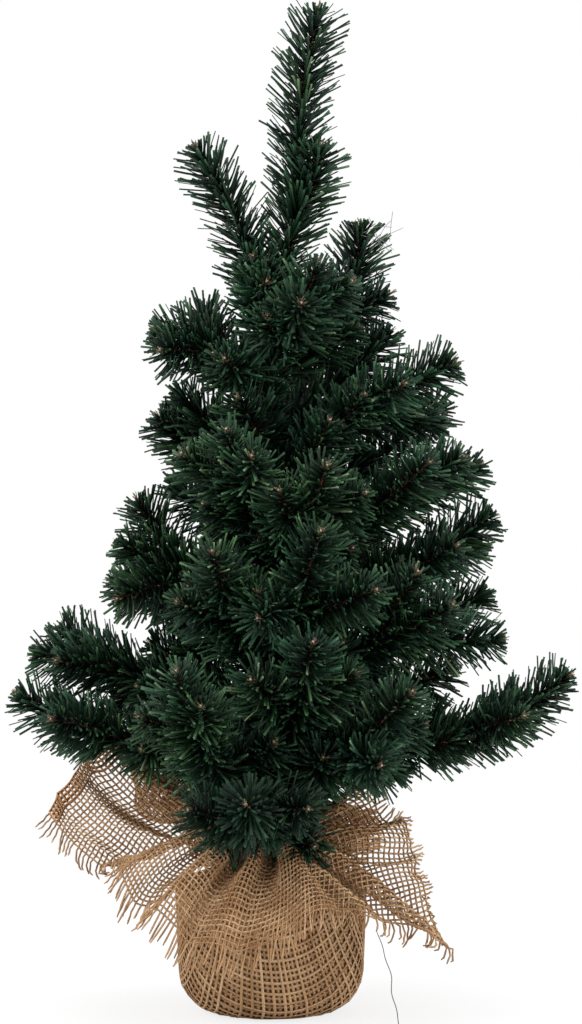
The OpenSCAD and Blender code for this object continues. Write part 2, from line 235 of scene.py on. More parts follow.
def makeLamps():
    for name, place, size, power in studio["lamps"]:
        bpy.ops.object.light_add(type="AREA", location=place)
        lamp = bpy.context.object
        lamp.name = name
        lamp.data.size = size
        lamp.data.energy = power
        lamp.rotation_euler = (Vector(studio["aim"]) - Vector(place)).to_track_quat("-Z", "Y").to_euler()


makeFloor()
makeWorld()
makeLamps()
bpy.context.scene.view_settings.view_transform = "Standard"
print("studio lit")


def onlyThis(piece):
    bpy.ops.object.select_all(action="DESELECT")
    piece.select_set(True)
    bpy.context.view_layer.objects.active = piece


def dressed(piece, name, material, body, replaced=()):  # names, colours and hangs a finished piece
    piece.name = name
    piece.data.name = name
    piece.data.materials.clear()
    piece.data.materials.append(material)
    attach(piece, body)
    if replaced:
        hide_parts(*replaced)


def meshFrom(name, points, faces, uvs):  # faces: rows of corner numbers, all with as many corners
    mesh = bpy.data.meshes.new(name)
    faces = np.asarray(faces, np.int32)
    count, corners = faces.shape
    mesh.vertices.add(len(points))
    mesh.vertices.foreach_set("co", np.asarray(points, np.float32).ravel())
    mesh.loops.add(count * corners)
    mesh.loops.foreach_set("vertex_index", faces.ravel())
    mesh.polygons.add(count)
    mesh.polygons.foreach_set("loop_start", np.arange(count, dtype=np.int32) * corners)
    layer = mesh.uv_layers.new(name="along")
    layer.data.foreach_set("uv", np.asarray(uvs, np.float32).ravel())
    mesh.update(calc_edges=True)
    mesh.validate()
    piece = bpy.data.objects.new(name, mesh)
    bpy.context.scene.collection.objects.link(piece)
    return piece


def spreadCopies(name, template, places, turns, sizes, tones):
    # one mesh of many copies of a modelled shape; its UV map holds the place along the shape and a tone
    corners = np.array([v.co for v in template.data.vertices])
    faces = np.array([list(p.vertices) for p in template.data.polygons])
    along = corners[:, 2] / corners[:, 2].max()
    points = np.einsum("mij,mnj->mni", turns, corners[None] * sizes[:, None, :]) + places[:, None, :]
    allFaces = faces[None] + (np.arange(len(places)) * len(corners))[:, None, None]
    uvs = np.empty((len(places), len(faces), faces.shape[1], 2))
    uvs[..., 0] = along[faces][None]
    uvs[..., 1] = tones[:, None, None]
    return meshFrom(name, points.reshape(-1, 3), allFaces.reshape(-1, faces.shape[1]), uvs.reshape(-1, 2))


def weldedParts(nodeName):  # the points of each solid of a CAD node, from a welded copy
    samePlace = 1e-6
    copy = bmesh.new()
    copy.from_mesh(frame["nodes"][nodeName].data)
    bmesh.ops.remove_doubles(copy, verts=copy.verts, dist=samePlace)
    parts, seen = [], set()
    for first in copy.verts:
        if first in seen:
            continue
        seen.add(first)
        found, queue = [], [first]
        while queue:
            one = queue.pop()
            found.append(one.co[:])
            for edge in one.link_edges:
                other = edge.other_vert(one)
                if other not in seen:
                    seen.add(other)
                    queue.append(other)
        parts.append(np.array(found))
    copy.free()
    return parts


def centreLine(points, pivot):  # the middle of each ring of a CAD wire, from its root on
    ringGap = 0.0025
    middle = points.mean(0)
    axis = np.linalg.svd(points - middle)[2][0]
    along = (points - middle) @ axis
    near, far = (np.linalg.norm(middle + axis * end - pivot) for end in (along.min(), along.max()))
    if far < near:
        along = -along
    order = np.argsort(along)
    breaks = np.flatnonzero(np.diff(along[order]) > ringGap) + 1
    return np.array([points[group].mean(0) for group in np.split(order, breaks)])


def lengthsOf(line):  # how far along a line each of its points lies
    return np.concatenate([[0], np.cumsum(np.linalg.norm(np.diff(line, axis=0), axis=1))])


def smoothLine(points, step):  # a smooth line through points, as evenly spaced points
    perStretch = 24
    points = np.asarray(points, float)
    ends = np.vstack([2 * points[0] - points[1], points, 2 * points[-1] - points[-2]])
    knots = np.concatenate([[0], np.cumsum(np.linalg.norm(np.diff(ends, axis=0), axis=1) ** 0.5)])
    line = [points[:1]]
    for i in range(1, len(ends) - 2):
        p, k = ends[i - 1:i + 3], knots[i - 1:i + 3]
        t = np.linspace(k[1], k[2], perStretch)[1:, None]

        def between(first, last, low, high):
            return (high - t) / (high - low) * first + (t - low) / (high - low) * last

        a = [between(p[j], p[j + 1], k[j], k[j + 1]) for j in range(3)]
        b = [between(a[j], a[j + 1], k[j], k[j + 2]) for j in range(2)]
        line.append(between(b[0], b[1], k[1], k[2]))
    line = np.vstack(line)
    along = lengthsOf(line)
    at = np.linspace(0, along[-1], max(3, int(round(along[-1] / step)) + 1))
    return np.stack([np.interp(at, along, line[:, i]) for i in range(3)], 1)


def turningFrames(line):  # tangent and two sides at each point of a line, without twist
    way = np.gradient(line, axis=0)
    way /= np.linalg.norm(way, axis=1)[:, None]
    upright = 0.9
    side = np.cross(way[0], (0, 0, 1.0) if abs(way[0][2]) < upright else (1.0, 0, 0))
    sides = []
    for w in way:
        side = side - w * (side @ w)
        side = side / np.linalg.norm(side)
        sides.append(side)
    sides = np.array(sides)
    return way, sides, np.cross(way, sides)


def tubes(name, lines, radius):  # round wires along lines, made as one bevelled curve
    curve = bpy.data.curves.new(name, "CURVE")
    curve.dimensions = "3D"
    curve.bevel_depth = radius
    curve.bevel_resolution = 1
    curve.use_fill_caps = True
    for line in lines:
        spline = curve.splines.new("POLY")
        spline.points.add(len(line) - 1)
        spline.points.foreach_set("co", np.hstack([line, np.ones((len(line), 1))]).ravel())
    piece = bpy.data.objects.new(name, curve)
    bpy.context.scene.collection.objects.link(piece)
    onlyThis(piece)
    bpy.ops.object.convert(target="MESH")
    return bpy.context.object


def newMaterial(name, rough, specular=0.5, metallic=0.0):
    made = bpy.data.materials.new(name)
    made.use_nodes = True
    tree = made.node_tree
    shader = tree.nodes["Principled BSDF"]
    shader.inputs["Roughness"].default_value = rough
    shader.inputs["Specular IOR Level"].default_value = specular
    shader.inputs["Metallic"].default_value = metallic
    return made, tree, shader


def ramp(tree, place, source, stops):  # turns a socket's values into colours, by rows of value and colour
    made = node(tree, "ShaderNodeValToRGB", place)
    while len(made.color_ramp.elements) < len(stops):
        made.color_ramp.elements.new(0.5)
    for element, (at, colour) in zip(made.color_ramp.elements, stops):
        element.position = at
        element.color = (*colour, 1)
    tree.links.new(source, made.inputs[0])
    return made.outputs[0]


def noise(tree, place, scale, detail):
    where = node(tree, "ShaderNodeTexCoord", (place[0] - 200, place[1]))
    made = node(tree, "ShaderNodeTexNoise", place, Scale=scale, Detail=detail)
    tree.links.new(where.outputs["Object"], made.inputs["Vector"])
    return made.outputs[0]


def alongAndTone(tree):  # what a strip's or a thread's UV map holds: the place along it, and its tone
    where = node(tree, "ShaderNodeUVMap", (-1100, 0))
    where.uv_map = "along"
    split = node(tree, "ShaderNodeSeparateXYZ", (-900, 0))
    tree.links.new(where.outputs[0], split.inputs[0])
    return split.outputs[0], split.outputs[1]


def mixColours(tree, place, first, second, share=1.0, kind="MULTIPLY"):
    made = node(tree, "ShaderNodeMix", place)
    made.data_type = "RGBA"
    made.blend_type = kind
    made.inputs[0].default_value = share
    tree.links.new(first, made.inputs[6])
    tree.links.new(second, made.inputs[7])
    return made.outputs[2]


def surface(tree, shader, colour, height, strength, deep):  # gives the shader its colour and its bump
    bump = node(tree, "ShaderNodeBump", (-200, -400), Strength=strength, Distance=deep)
    tree.links.new(colour, shader.inputs["Base Color"])
    tree.links.new(height, bump.inputs["Height"])
    tree.links.new(bump.outputs[0], shader.inputs["Normal"])


def grainMaterial(name, stops, rough, scale, detail, strength, deep, specular=0.5, metallic=0.0):
    # one grain gives the colour and the bump
    made, tree, shader = newMaterial(name, rough, specular, metallic)
    grain = noise(tree, (-650, 100), scale, detail)
    surface(tree, shader, ramp(tree, (-400, 100), grain, stops), grain, strength, deep)
    return made


def needleMaterial():
    made, tree, shader = newMaterial("needleGreen", 0.5, 0.18)
    along, tone = alongAndTone(tree)
    # low tones hold the painted shade of the core and of shaded brushes; the rest differ at random
    tones = ramp(tree, (-650, 200), tone, [
        (0.0, (0.002, 0.010, 0.0045)), (0.3, (0.0045, 0.022, 0.009)), (0.6, (0.012, 0.044, 0.017)),
        (0.82, (0.034, 0.080, 0.036)), (1.0, (0.110, 0.160, 0.095))])
    paintedShadeAndHighlight = ramp(tree, (-650, -100), along, [  # painted shade, dark at the wire, and a painted highlight, pale at the cut end
        (0.0, (0.22, 0.18, 0.13)), (0.35, (0.6, 0.6, 0.6)), (0.9, (1.25, 1.25, 1.25)),
        (1.0, (2.2, 1.9, 2.0))])
    colour = mixColours(tree, (-350, 100), tones, paintedShadeAndHighlight)
    patches = ramp(tree, (-400, -400), noise(tree, (-650, -400), 22, 2), [
        (0.35, (0.8, 0.95, 1.05)), (0.65, (1.15, 1.05, 0.85))])
    colour = mixColours(tree, (-150, 100), colour, patches)
    surface(tree, shader, colour, noise(tree, (-450, -650), 900, 2), 0.25, 0.0002)
    return made


def fibreMaterial():
    made, tree, shader = newMaterial("brownFibre", 0.7)
    tones = ramp(tree, (-450, 100), alongAndTone(tree)[1], [
        (0.0, (0.022, 0.014, 0.008)), (0.45, (0.06, 0.03, 0.015)), (0.6, (0.075, 0.06, 0.026)),
        (1.0, (0.15, 0.125, 0.06))])
    grain = noise(tree, (-450, -300), 700, 2)
    colour = mixColours(tree, (-150, 100), tones, grain, 0.25, "OVERLAY")
    surface(tree, shader, colour, grain, 0.3, 0.0002)
    return made


def wireMaterial():
    made, tree, shader = newMaterial("rustyWire", 0.45, metallic=0.45)
    tones = ramp(tree, (-400, 100), noise(tree, (-650, 100), 160, 4), [
        (0.3, (0.035, 0.045, 0.03)), (0.5, (0.10, 0.048, 0.024)), (0.7, (0.25, 0.11, 0.045))])
    grain = noise(tree, (-450, -300), 1500, 3)
    worn = ramp(tree, (-250, -150), grain, [(0.3, (0.35, 0.35, 0.35)), (0.7, (0.65, 0.65, 0.65))])
    tree.links.new(worn, shader.inputs["Roughness"])
    surface(tree, shader, tones, grain, 0.3, 0.0001)
    return made


def cutWireMaterial():
    return grainMaterial("cutWire", [(0.35, (0.30, 0.21, 0.15)), (0.65, (0.55, 0.44, 0.36))],
                         rough=0.35, scale=2400, detail=3, strength=0.3, deep=0.0001, metallic=0.3)


needleGreen = needleMaterial()
brownFibre = fibreMaterial()
rustyWire = wireMaterial()
cutWire = cutWireMaterial()
print("plant materials made")

seeds = {"branches": 100, "innerTwigs": 500, "trunk": 77, "weave": 31, "filaments": 9}

needle = {
    "long": 0.0255,
    "wide": 0.00138,
    "thick": 0.00045,
    "bends": (0.0, 0.0012, 0.0026),
    "cuts": 3,
    "perMetre": 3800,
    "lean": 57,             # degrees from the wire
    "tipLean": 48,
    "leanSpread": 5.5,
    "jitter": 0.4,          # how unevenly the pairs follow each other, as a share of the gap between them
    "turnSpread": 0.35,     # how unevenly they wind round the wire, in radians
    "twist": 0.55,          # how far a strip is turned about its length, in radians
    "besideWire": 0.0007,   # where a needle starts, from the wire's middle
    "coreShare": 0.48,      # needles that were caught short by the twist and stay in the dark of the core
    "coreLong": (0.5, 0.8),
    # the short needles' dark tones: painted shade of the core
    "paintedCoreShade": (0, 0.25),
    "fullLong": (0.9, 1.04),
    "fullTones": (1.5, 2.4),     # the two shape values of their spread
    "toneShift": (-0.08, 0.1),   # from wire to wire
    "widths": (0.85, 1.1),
    "bareRoot": 0.003,
    "bareSide": 0.008,      # on a side wire
    "bareTip": 0.003,
    "tipZone": 0.022,       # the last stretch of a wire, where the needles get steeper and shorter
    "tipPower": 1.3,
    "tipShare": 0.62,       # length of the last needles, as a share of the others
    "past": 0.0008,         # how far a needle may stand out past the wire's end,
    "pastRight": -0.0035,   # past the CAD's right side and past its top
    "pastTop": 0.0015,
    "uneven": 0.006,        # how much the needles that are cut short there differ, with the turn from
    "unevenTurn": 2.4,      # one to the next, in radians
    "least": 0.004,         # shortest needle
}

fringe = {
    "long": 0.0042,
    "wide": 0.0006,
    "thick": 0.00022,
    "bend": 0.0006,
    "perMetre": 900,
    "lean": 58,
    "tipLean": 24,
    "leanSpread": 14,
    "twist": 1.5,
    "bare": (0.003, 0.001),     # at the wire's root and tip
    "tones": (0, 0.5),
    "uneven": (0.7, 1.3),
    "tuftLong": 0.0048,
    "tuftCount": 16,
    "tuftLean": (8, 42),
    "tuftBack": (0.001, 0.006),   # how far behind the wire's end they start
    "tuftTones": (0.5, 1),
}

bareRoots = {"top_branch_1": 0.032, "leader": 0.016}  # bare lengths of the wires that leave the trunk's top

paintedBranchShade = {"lower_branch_3": 0.3}  # brushes that lie in the shade of the others, and how far their tones are lowered: painted shade

sprig = {                     # short side wires that fill the foliage round the trunk
    "places": (0.34, 0.68),   # share of the way to the fork
    "slide": 0.08,            # how far they move from there
    "long": 0.034,
    "uneven": (0.8, 1.15),
    "turn": 52,               # degrees from the wire
    "lift": 6,
    "spread": 16,
    "liftSpread": 24,
    "beside": 0.0018,         # they lie beside the wire for a lead, and bend back along it at the end
    "lead": 0.006,
    "follow": 0.25,
}

wire = {
    "strand": 0.00052,        # radius of a strand
    "twist": 0.0052,          # length of one turn of the pair
    "step": 0.00085,
    "curl": 0.0022,           # how far a wire's middle bends aside, its spread, and how it differs by axis
    "curlSpread": 0.6,
    "curlShape": (1, 1, 1.2),
    "endRadius": 0.0007,
    "endLong": 0.0012,
    "endSides": 10,
}


def modelStrip(name, wide, thick, long, cuts, bend):  # a flat strip, cut into lengths and bent
    tipWide = 0.94
    bpy.ops.object.select_all(action="DESELECT")
    bpy.ops.mesh.primitive_cube_add(size=1, location=(0, 0, long / 2), scale=(wide, thick, long))
    strip = bpy.context.object
    strip.name = name
    bpy.ops.object.transform_apply(location=True, rotation=True, scale=True)
    bpy.ops.object.mode_set(mode="EDIT")
    for i in range(1, cuts):
        bpy.ops.mesh.select_all(action="SELECT")
        bpy.ops.mesh.bisect(plane_co=(0, 0, long * i / cuts), plane_no=(0, 0, 1))
    bpy.ops.mesh.select_all(action="SELECT")
    bpy.ops.mesh.normals_make_consistent(inside=False)
    bpy.ops.object.mode_set(mode="OBJECT")
    for v in strip.data.vertices:
        share = v.co.z / long
        v.co.x *= 1 - (1 - tipWide) * share
        v.co.y += bend * share * share
    return strip


needleShapes = [modelStrip("needleShape%d" % i, needle["wide"], needle["thick"], needle["long"],
                           needle["cuts"], bend) for i, bend in enumerate(needle["bends"])]
fringeShape = modelStrip("fringeShape", fringe["wide"], fringe["thick"], fringe["long"], 1, fringe["bend"])


def modelWireEnd():  # the cut end of the twisted pair, a short round stub
    bpy.ops.object.select_all(action="DESELECT")
    bpy.ops.mesh.primitive_cylinder_add(vertices=wire["endSides"], radius=wire["endRadius"],
                                        depth=wire["endLong"], location=(0, 0, wire["endLong"] / 2))
    end = bpy.context.object
    end.name = "wireEndShape"
    bpy.ops.object.transform_apply(location=True, rotation=True, scale=True)
    bpy.ops.object.mode_set(mode="EDIT")
    bpy.ops.mesh.select_all(action="SELECT")
    bpy.ops.mesh.quads_convert_to_tris()
    bpy.ops.object.mode_set(mode="OBJECT")
    return end


wireEndShape = modelWireEnd()


def aimed(way, side, twist):  # turn matrices whose z is way and whose x is side turned by twist about it
    over = np.cross(way, side)
    x = np.cos(twist)[:, None] * side + np.sin(twist)[:, None] * over
    return np.stack([x, np.cross(way, x), way], 2)


def brush(line, rng, kind, first, last):
    # places and directions of what stands out of a wire, as opposite pairs wound round it; how near the
    # wire's end each is, and how long it may be
    long = np.linalg.norm(np.diff(line, axis=0), axis=1).sum()
    pairs = max(1, int((long - first - last) * kind["perMetre"] / 2))
    jitter = rng.uniform(-needle["jitter"], needle["jitter"], pairs)
    at = first + (long - first - last) * (np.arange(pairs) + jitter + 0.5) / pairs
    at = np.repeat(at, 2)
    way, side, over = turningFrames(line)
    spot = at / long * (len(line) - 1)
    pick = np.clip(spot.astype(int), 0, len(line) - 2)
    part = (spot - pick)[:, None]
    places = line[pick] * (1 - part) + line[pick + 1] * part
    turn = 2 * np.pi * at / wire["twist"] + rng.normal(0, needle["turnSpread"], len(at))
    turn += np.tile([0, np.pi], pairs)
    out = np.cos(turn)[:, None] * side[pick] + np.sin(turn)[:, None] * over[pick]
    toEnd = np.clip(1 - (long - at - last) / needle["tipZone"], 0, 1) ** needle["tipPower"]
    lean = kind["lean"] + (kind["tipLean"] - kind["lean"]) * toEnd
    angle = np.radians(lean + rng.normal(0, kind["leanSpread"], len(at)))
    heading = np.cos(angle)[:, None] * way[pick] + np.sin(angle)[:, None] * out
    across = np.cross(way[pick], out)
    most = roomFor(places, heading, angle, long - at)
    return places + out * needle["besideWire"], heading, across, toEnd, most


def roomFor(places, heading, angle, toTip):
    # how long needles may be so as to end by the wire's tip, and by the CAD's right side and top
    steep, slight = 0.2, 0.05  # least shares of a needle's length that count as along the wire or to a side
    most = (toTip + needle["past"]) / np.maximum(np.cos(angle), steep)
    uneven = needle["uneven"] * np.sin(np.arange(len(toTip)) * needle["unevenTurn"]) ** 2
    for axis, past in ((0, needle["pastRight"]), (2, needle["pastTop"])):
        room = (cadHigh[axis] + past - uneven - places[:, axis]) / np.maximum(heading[:, axis], slight)
        most = np.minimum(most, np.where(heading[:, axis] > slight, room, 1))
    return np.maximum(most, needle["least"])


def strands(line):  # the two strands of a twisted wire
    way, side, over = turningFrames(line)
    at = np.arange(len(line)) * wire["step"]
    turn = 2 * np.pi * at / wire["twist"]
    turns = [turn[:, None] + half for half in (0, np.pi)]
    return [line + wire["strand"] * (np.cos(turn) * side + np.sin(turn) * over) for turn in turns]


def sprigLines(main, rng):  # short wires that leave the first stretch of a branch, right and left in turn
    root, fork = main[0], main[1]
    way = (fork - root) / np.linalg.norm(fork - root)
    side = np.cross(way, (0, 0, 1.0))
    side /= np.linalg.norm(side)
    over = np.cross(side, way)
    found = []
    for share in sprig["places"]:
        for hand in (-1, 1):
            turn = math.radians(sprig["turn"] + rng.normal(0, sprig["spread"]))
            lift = math.radians(rng.normal(sprig["lift"], sprig["liftSpread"]))
            out = hand * side * math.cos(lift) + over * math.sin(lift)
            at = share + rng.uniform(-sprig["slide"], sprig["slide"])
            start = root + (fork - root) * at + out * sprig["beside"]
            away = way * math.cos(turn) + out * math.sin(turn)
            long = sprig["long"] * rng.uniform(*sprig["uneven"])
            last = away + way * sprig["follow"]
            found.append(np.array([start - way * sprig["lead"], start, start + away * long * 0.5,
                                   start + last * long / np.linalg.norm(last)]))
    return found


def branchWires(body, pivot, rng):  # the CAD wires of a branch and the side wires that fill it
    lines = sorted((centreLine(p, pivot) for p in weldedParts(body + "_stem")),
                   key=lambda l: -np.linalg.norm(np.diff(l, axis=0), axis=1).sum())
    return lines + sprigLines(lines[0], rng)


def sidesOf(ways):  # a direction at right angles to each
    aslant = (0.3, 0.5, 0.8)
    side = np.cross(ways, aslant)
    return side / np.linalg.norm(side, axis=-1, keepdims=True)


def sizesOf(long, wide=1.0):  # how much wider and longer each copy is than its shape
    return np.stack([np.ones(len(long)) * wide, np.ones(len(long)), long], 1)


def greenStrips(line, rng, bare, paintedShade):  # places, directions, sides, tones and lengths of a wire's needles
    # a wire's needles shift in tone at random, and are darkened by painted shade where the wire lies in
    # shade
    tone = rng.uniform(*needle["toneShift"]) - paintedShade
    places, way, across, toEnd, most = brush(line, rng, needle, bare, needle["bareTip"])
    count = len(places)
    short = rng.random(count) < needle["coreShare"]
    paintedCoreShade = rng.uniform(*needle["paintedCoreShade"], count)
    tones = np.where(short, paintedCoreShade, np.clip(rng.beta(*needle["fullTones"], count) + tone, 0, 1))
    long = np.where(short, rng.uniform(*needle["coreLong"], count), rng.uniform(*needle["fullLong"], count))
    long = np.minimum(long * (1 - (1 - needle["tipShare"]) * toEnd), most / needle["long"])
    return places, way, across, tones, long


def brownFringe(line, rng):
    places, way, across = brush(line, rng, fringe, *fringe["bare"])[:3]
    return places, way, across, rng.uniform(*fringe["tones"], len(places)), np.ones(len(places))


def brownTuft(tip, heading, rng):
    count = fringe["tuftCount"]
    around = rng.uniform(0, 2 * np.pi, count)[:, None]
    side = sidesOf(heading)
    out = np.cos(around) * side + np.sin(around) * np.cross(heading, side)
    lean = np.radians(rng.uniform(*fringe["tuftLean"], count))[:, None]
    way = np.cos(lean) * heading + np.sin(lean) * out
    places = tip - heading * rng.uniform(*fringe["tuftBack"], (count, 1))
    tones = rng.uniform(*fringe["tuftTones"], count)
    return places, way, np.cross(heading, out), tones, np.full(count, fringe["tuftLong"] / fringe["long"])


def gatheredUp(parts):  # one array for each kind of value, from the rows of all wires
    return (np.concatenate(kind) for kind in zip(*parts))


def needleStrips(name, body, green, rng, replaced):
    places, way, across, tones, long = gatheredUp(green)
    turns = aimed(way, across, rng.normal(0, needle["twist"], len(places)))
    shape = rng.integers(0, len(needleShapes), len(places))
    sizes = sizesOf(long, rng.uniform(*needle["widths"], len(places)))
    parts = []
    for i, template in enumerate(needleShapes):
        mine = shape == i
        parts.append(spreadCopies("needles", template, places[mine], turns[mine], sizes[mine], tones[mine]))
    onlyThis(parts[0])
    for part in parts[1:]:
        part.select_set(True)
    bpy.ops.object.join()
    dressed(parts[0], name + "_needle_strips", needleGreen, body, replaced)


def brownFibres(name, body, brown, rng):
    places, way, across, tones, long = gatheredUp(brown)
    turns = aimed(way, across, rng.uniform(-fringe["twist"], fringe["twist"], len(places)))
    sizes = sizesOf(long * rng.uniform(*fringe["uneven"], len(places)))
    fibres = spreadCopies("fibres", fringeShape, places, turns, sizes, tones)
    dressed(fibres, name + "_brown_fibres", brownFibre, body)


def wireEnds(name, body, tips, headings):
    ways, none = np.array(headings), np.zeros(len(tips))
    turns = aimed(ways, sidesOf(ways), none)
    stubs = spreadCopies("stubs", wireEndShape, np.array(tips), turns, sizesOf(none + 1), none)
    dressed(stubs, name + "_wire_ends", cutWire, body)


def makeBrushes(name, body, lines, rng, replaced=(), bare=needle["bareRoot"], paintedShade=0.0):
    # the needle brushes along a set of wires: twisted strands, green strips, brown fibres and cut ends
    wires, green, brown, tips, headings = [], [], [], [], []
    for k, line in enumerate(lines):
        curved = smoothLine(line, wire["step"])
        share = np.linspace(0, 1, len(curved))[:, None]
        curl = rng.normal(0, wire["curlSpread"], 3)
        curved = curved + wire["curl"] * np.sin(np.pi * share) ** 2 * curl * wire["curlShape"]
        wires += strands(curved)
        green.append(greenStrips(curved, rng, bare if k == 0 else needle["bareSide"], paintedShade))
        brown.append(brownFringe(curved, rng))
        tips.append(curved[-1])
        heading = curved[-1] - curved[-4]
        headings.append(heading / np.linalg.norm(heading))
        brown.append(brownTuft(tips[-1], headings[-1], rng))
    stem = tubes(name + "_twisted_wire", wires, wire["strand"])
    dressed(stem, name + "_twisted_wire", rustyWire, body, replaced[:1])
    needleStrips(name, body, green, rng, replaced[1:])
    brownFibres(name, body, brown, rng)
    wireEnds(name, body, tips, headings)


def plainMaterial(name, rough, dark, light, scale, strength, metallic=0.0, stretch=(1, 1, 1)):
    # broad patches between two tones, with fine specks that also make the bump
    made, tree, shader = newMaterial(name, rough, 0.5 if metallic else 0.15, metallic)
    where = node(tree, "ShaderNodeTexCoord", (-1100, 0))
    scaled = node(tree, "ShaderNodeMapping", (-900, 0), Scale=stretch)
    tree.links.new(where.outputs["Object"], scaled.inputs["Vector"])
    broad = node(tree, "ShaderNodeTexNoise", (-700, 150), Scale=scale, Detail=4)
    fine = node(tree, "ShaderNodeTexNoise", (-700, -250), Scale=scale * 9, Detail=5)
    for pattern in (broad, fine):
        tree.links.new(scaled.outputs[0], pattern.inputs["Vector"])
    tones = ramp(tree, (-450, 150), broad.outputs[0], [(0.3, dark), (0.7, light)])
    specks = ramp(tree, (-450, -150), fine.outputs[0], [
        (0.35, (0.72, 0.72, 0.72)), (0.6, (1.08, 1.08, 1.08))])
    colour = mixColours(tree, (-200, 100), tones, specks, 0.8)
    surface(tree, shader, colour, fine.outputs[0], strength, 0.0004)
    return made


carriedOver = {  # CAD pieces that keep their own shape, and their materials
    "trunk_wrap": dict(name="greenTape", rough=0.8, dark=(0.003, 0.010, 0.005), light=(0.008, 0.022, 0.011),
                       scale=90, strength=0.35, stretch=(1, 1, 6)),
    "trunk_core": dict(name="steelRod", rough=0.4, dark=(0.18, 0.18, 0.18), light=(0.34, 0.34, 0.33),
                       scale=60, strength=0.2, metallic=0.8, stretch=(1, 1, 0.1)),
    "cement_weight": dict(name="greyCement", rough=0.9, dark=(0.24, 0.23, 0.21), light=(0.42, 0.41, 0.38),
                          scale=40, strength=0.8),
    "casting_cup": dict(name="brownCup", rough=0.5, dark=(0.12, 0.066, 0.032), light=(0.17, 0.098, 0.052),
                        scale=30, strength=0.15),
    "neck_tie": dict(name="juteTwine", rough=0.85, dark=(0.17, 0.10, 0.05), light=(0.34, 0.22, 0.12),
                     scale=260, strength=0.9, stretch=(1, 1, 3)),
}
for name, look in carriedOver.items():
    frame["nodes"][name].data.materials.clear()
    frame["nodes"][name].data.materials.append(plainMaterial(**look))
print("carried-over pieces dressed")

for number, joint in enumerate(frame["joints"]):
    branch = joint["child"]
    seeded = np.random.default_rng(seeds["branches"] + number)
    wires = branchWires(branch, np.array(joint["pos_m"]), seeded)
    makeBrushes(branch, branch, wires, seeded, [branch + "_stem", branch + "_needles"],
                bareRoots.get(branch, needle["bareRoot"]), paintedBranchShade.get(branch, 0.0))

innerTwig = {
    "fromMiddle": 0.004,   # of the trunk
    "sag": 0.006,
    # how far the inner twigs' tones are lowered: painted shade of the tree's inside
    "paintedShade": 0.12,
    "rows": (  # height of the root in metres, direction round the trunk, rise, both in degrees, and length
        (0.330, 160, 35, 0.070), (0.290, 150, 20, 0.070), (0.190, 160, 20, 0.080), (0.170, 220, 40, 0.035),
        (0.285, 15, 40, 0.075), (0.345, 20, 40, 0.095), (0.200, 15, 20, 0.140), (0.165, 10, 20, 0.115),
        (0.300, 20, 30, 0.125), (0.310, 310, 40, 0.065), (0.330, 240, 45, 0.050), (0.215, 240, 45, 0.080),
        (0.165, 305, 40, 0.090), (0.130, 290, 35, 0.060), (0.215, 35, 35, 0.090), (0.240, 100, 30, 0.110),
        (0.170, 75, 25, 0.110), (0.310, 118, 35, 0.080)),
}


def innerLines():
    middle = sum(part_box("trunk_wrap"), Vector()) / 2
    found = []
    for height, turn, rise, long in innerTwig["rows"]:
        out = np.array((math.cos(math.radians(turn)), math.sin(math.radians(turn)), 0))
        root = np.array((middle.x, middle.y, height)) + out * innerTwig["fromMiddle"]
        run = out * math.cos(math.radians(rise)) + np.array((0, 0, math.sin(math.radians(rise))))
        half = root + run * long * 0.5 - (0, 0, innerTwig["sag"])
        found.append(np.array([root, half, root + run * long]))
    return found


innerSeeded = np.random.default_rng(seeds["innerTwigs"])
makeBrushes("inner_twigs", "base", innerLines(), innerSeeded, paintedShade=innerTwig["paintedShade"])
print("inner twigs made:", len(innerTwig["rows"]))

trunkNeedle = {
    "perMetre": 5200,
    "lean": 66,
    "tipLean": 60,
    "leanSpread": 12,
    "bare": (0.002, 0.002),
    "fromTie": 0.012,      # how far above the tie they start, and how far below the tape's end they stop
    "fromTop": 0.004,
    "points": 120,
    "inTape": 0.42,        # how far from its middle they start, as a share of the tape's width
    "twist": 0.5,
    "long": (0.7, 0.95),
    "tones": (0, 0.45),
}


def trunkNeedles():  # the needles wound along the taped trunk with the branches' wires
    rng = np.random.default_rng(seeds["trunk"])
    low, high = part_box("trunk_wrap")
    count = trunkNeedle["points"]
    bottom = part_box("neck_tie")[1][2] + trunkNeedle["fromTie"]
    z = np.linspace(bottom, high[2] - trunkNeedle["fromTop"], count)
    line = np.stack([np.full(count, (low[0] + high[0]) / 2), np.full(count, (low[1] + high[1]) / 2), z], 1)
    places, way, across = brush(line, rng, trunkNeedle, *trunkNeedle["bare"])[:3]
    out = np.cross(across, line[1] - line[0])
    out /= np.linalg.norm(out, axis=1)[:, None]
    places = places - out * (high[0] - low[0]) * trunkNeedle["inTape"]
    turns = aimed(way, across, rng.normal(0, trunkNeedle["twist"], len(places)))
    sizes = sizesOf(rng.uniform(*trunkNeedle["long"], len(places)))
    tones = rng.uniform(*trunkNeedle["tones"], len(places))
    piece = spreadCopies("trunk_needles", needleShapes[1], places, turns, sizes, tones)
    dressed(piece, "trunk_needles", needleGreen, "base")


trunkNeedles()
print("trunk needles made")
stubCorners = len(wireEndShape.data.vertices)
for shape in [*needleShapes, fringeShape, wireEndShape]:
    bpy.data.objects.remove(shape)

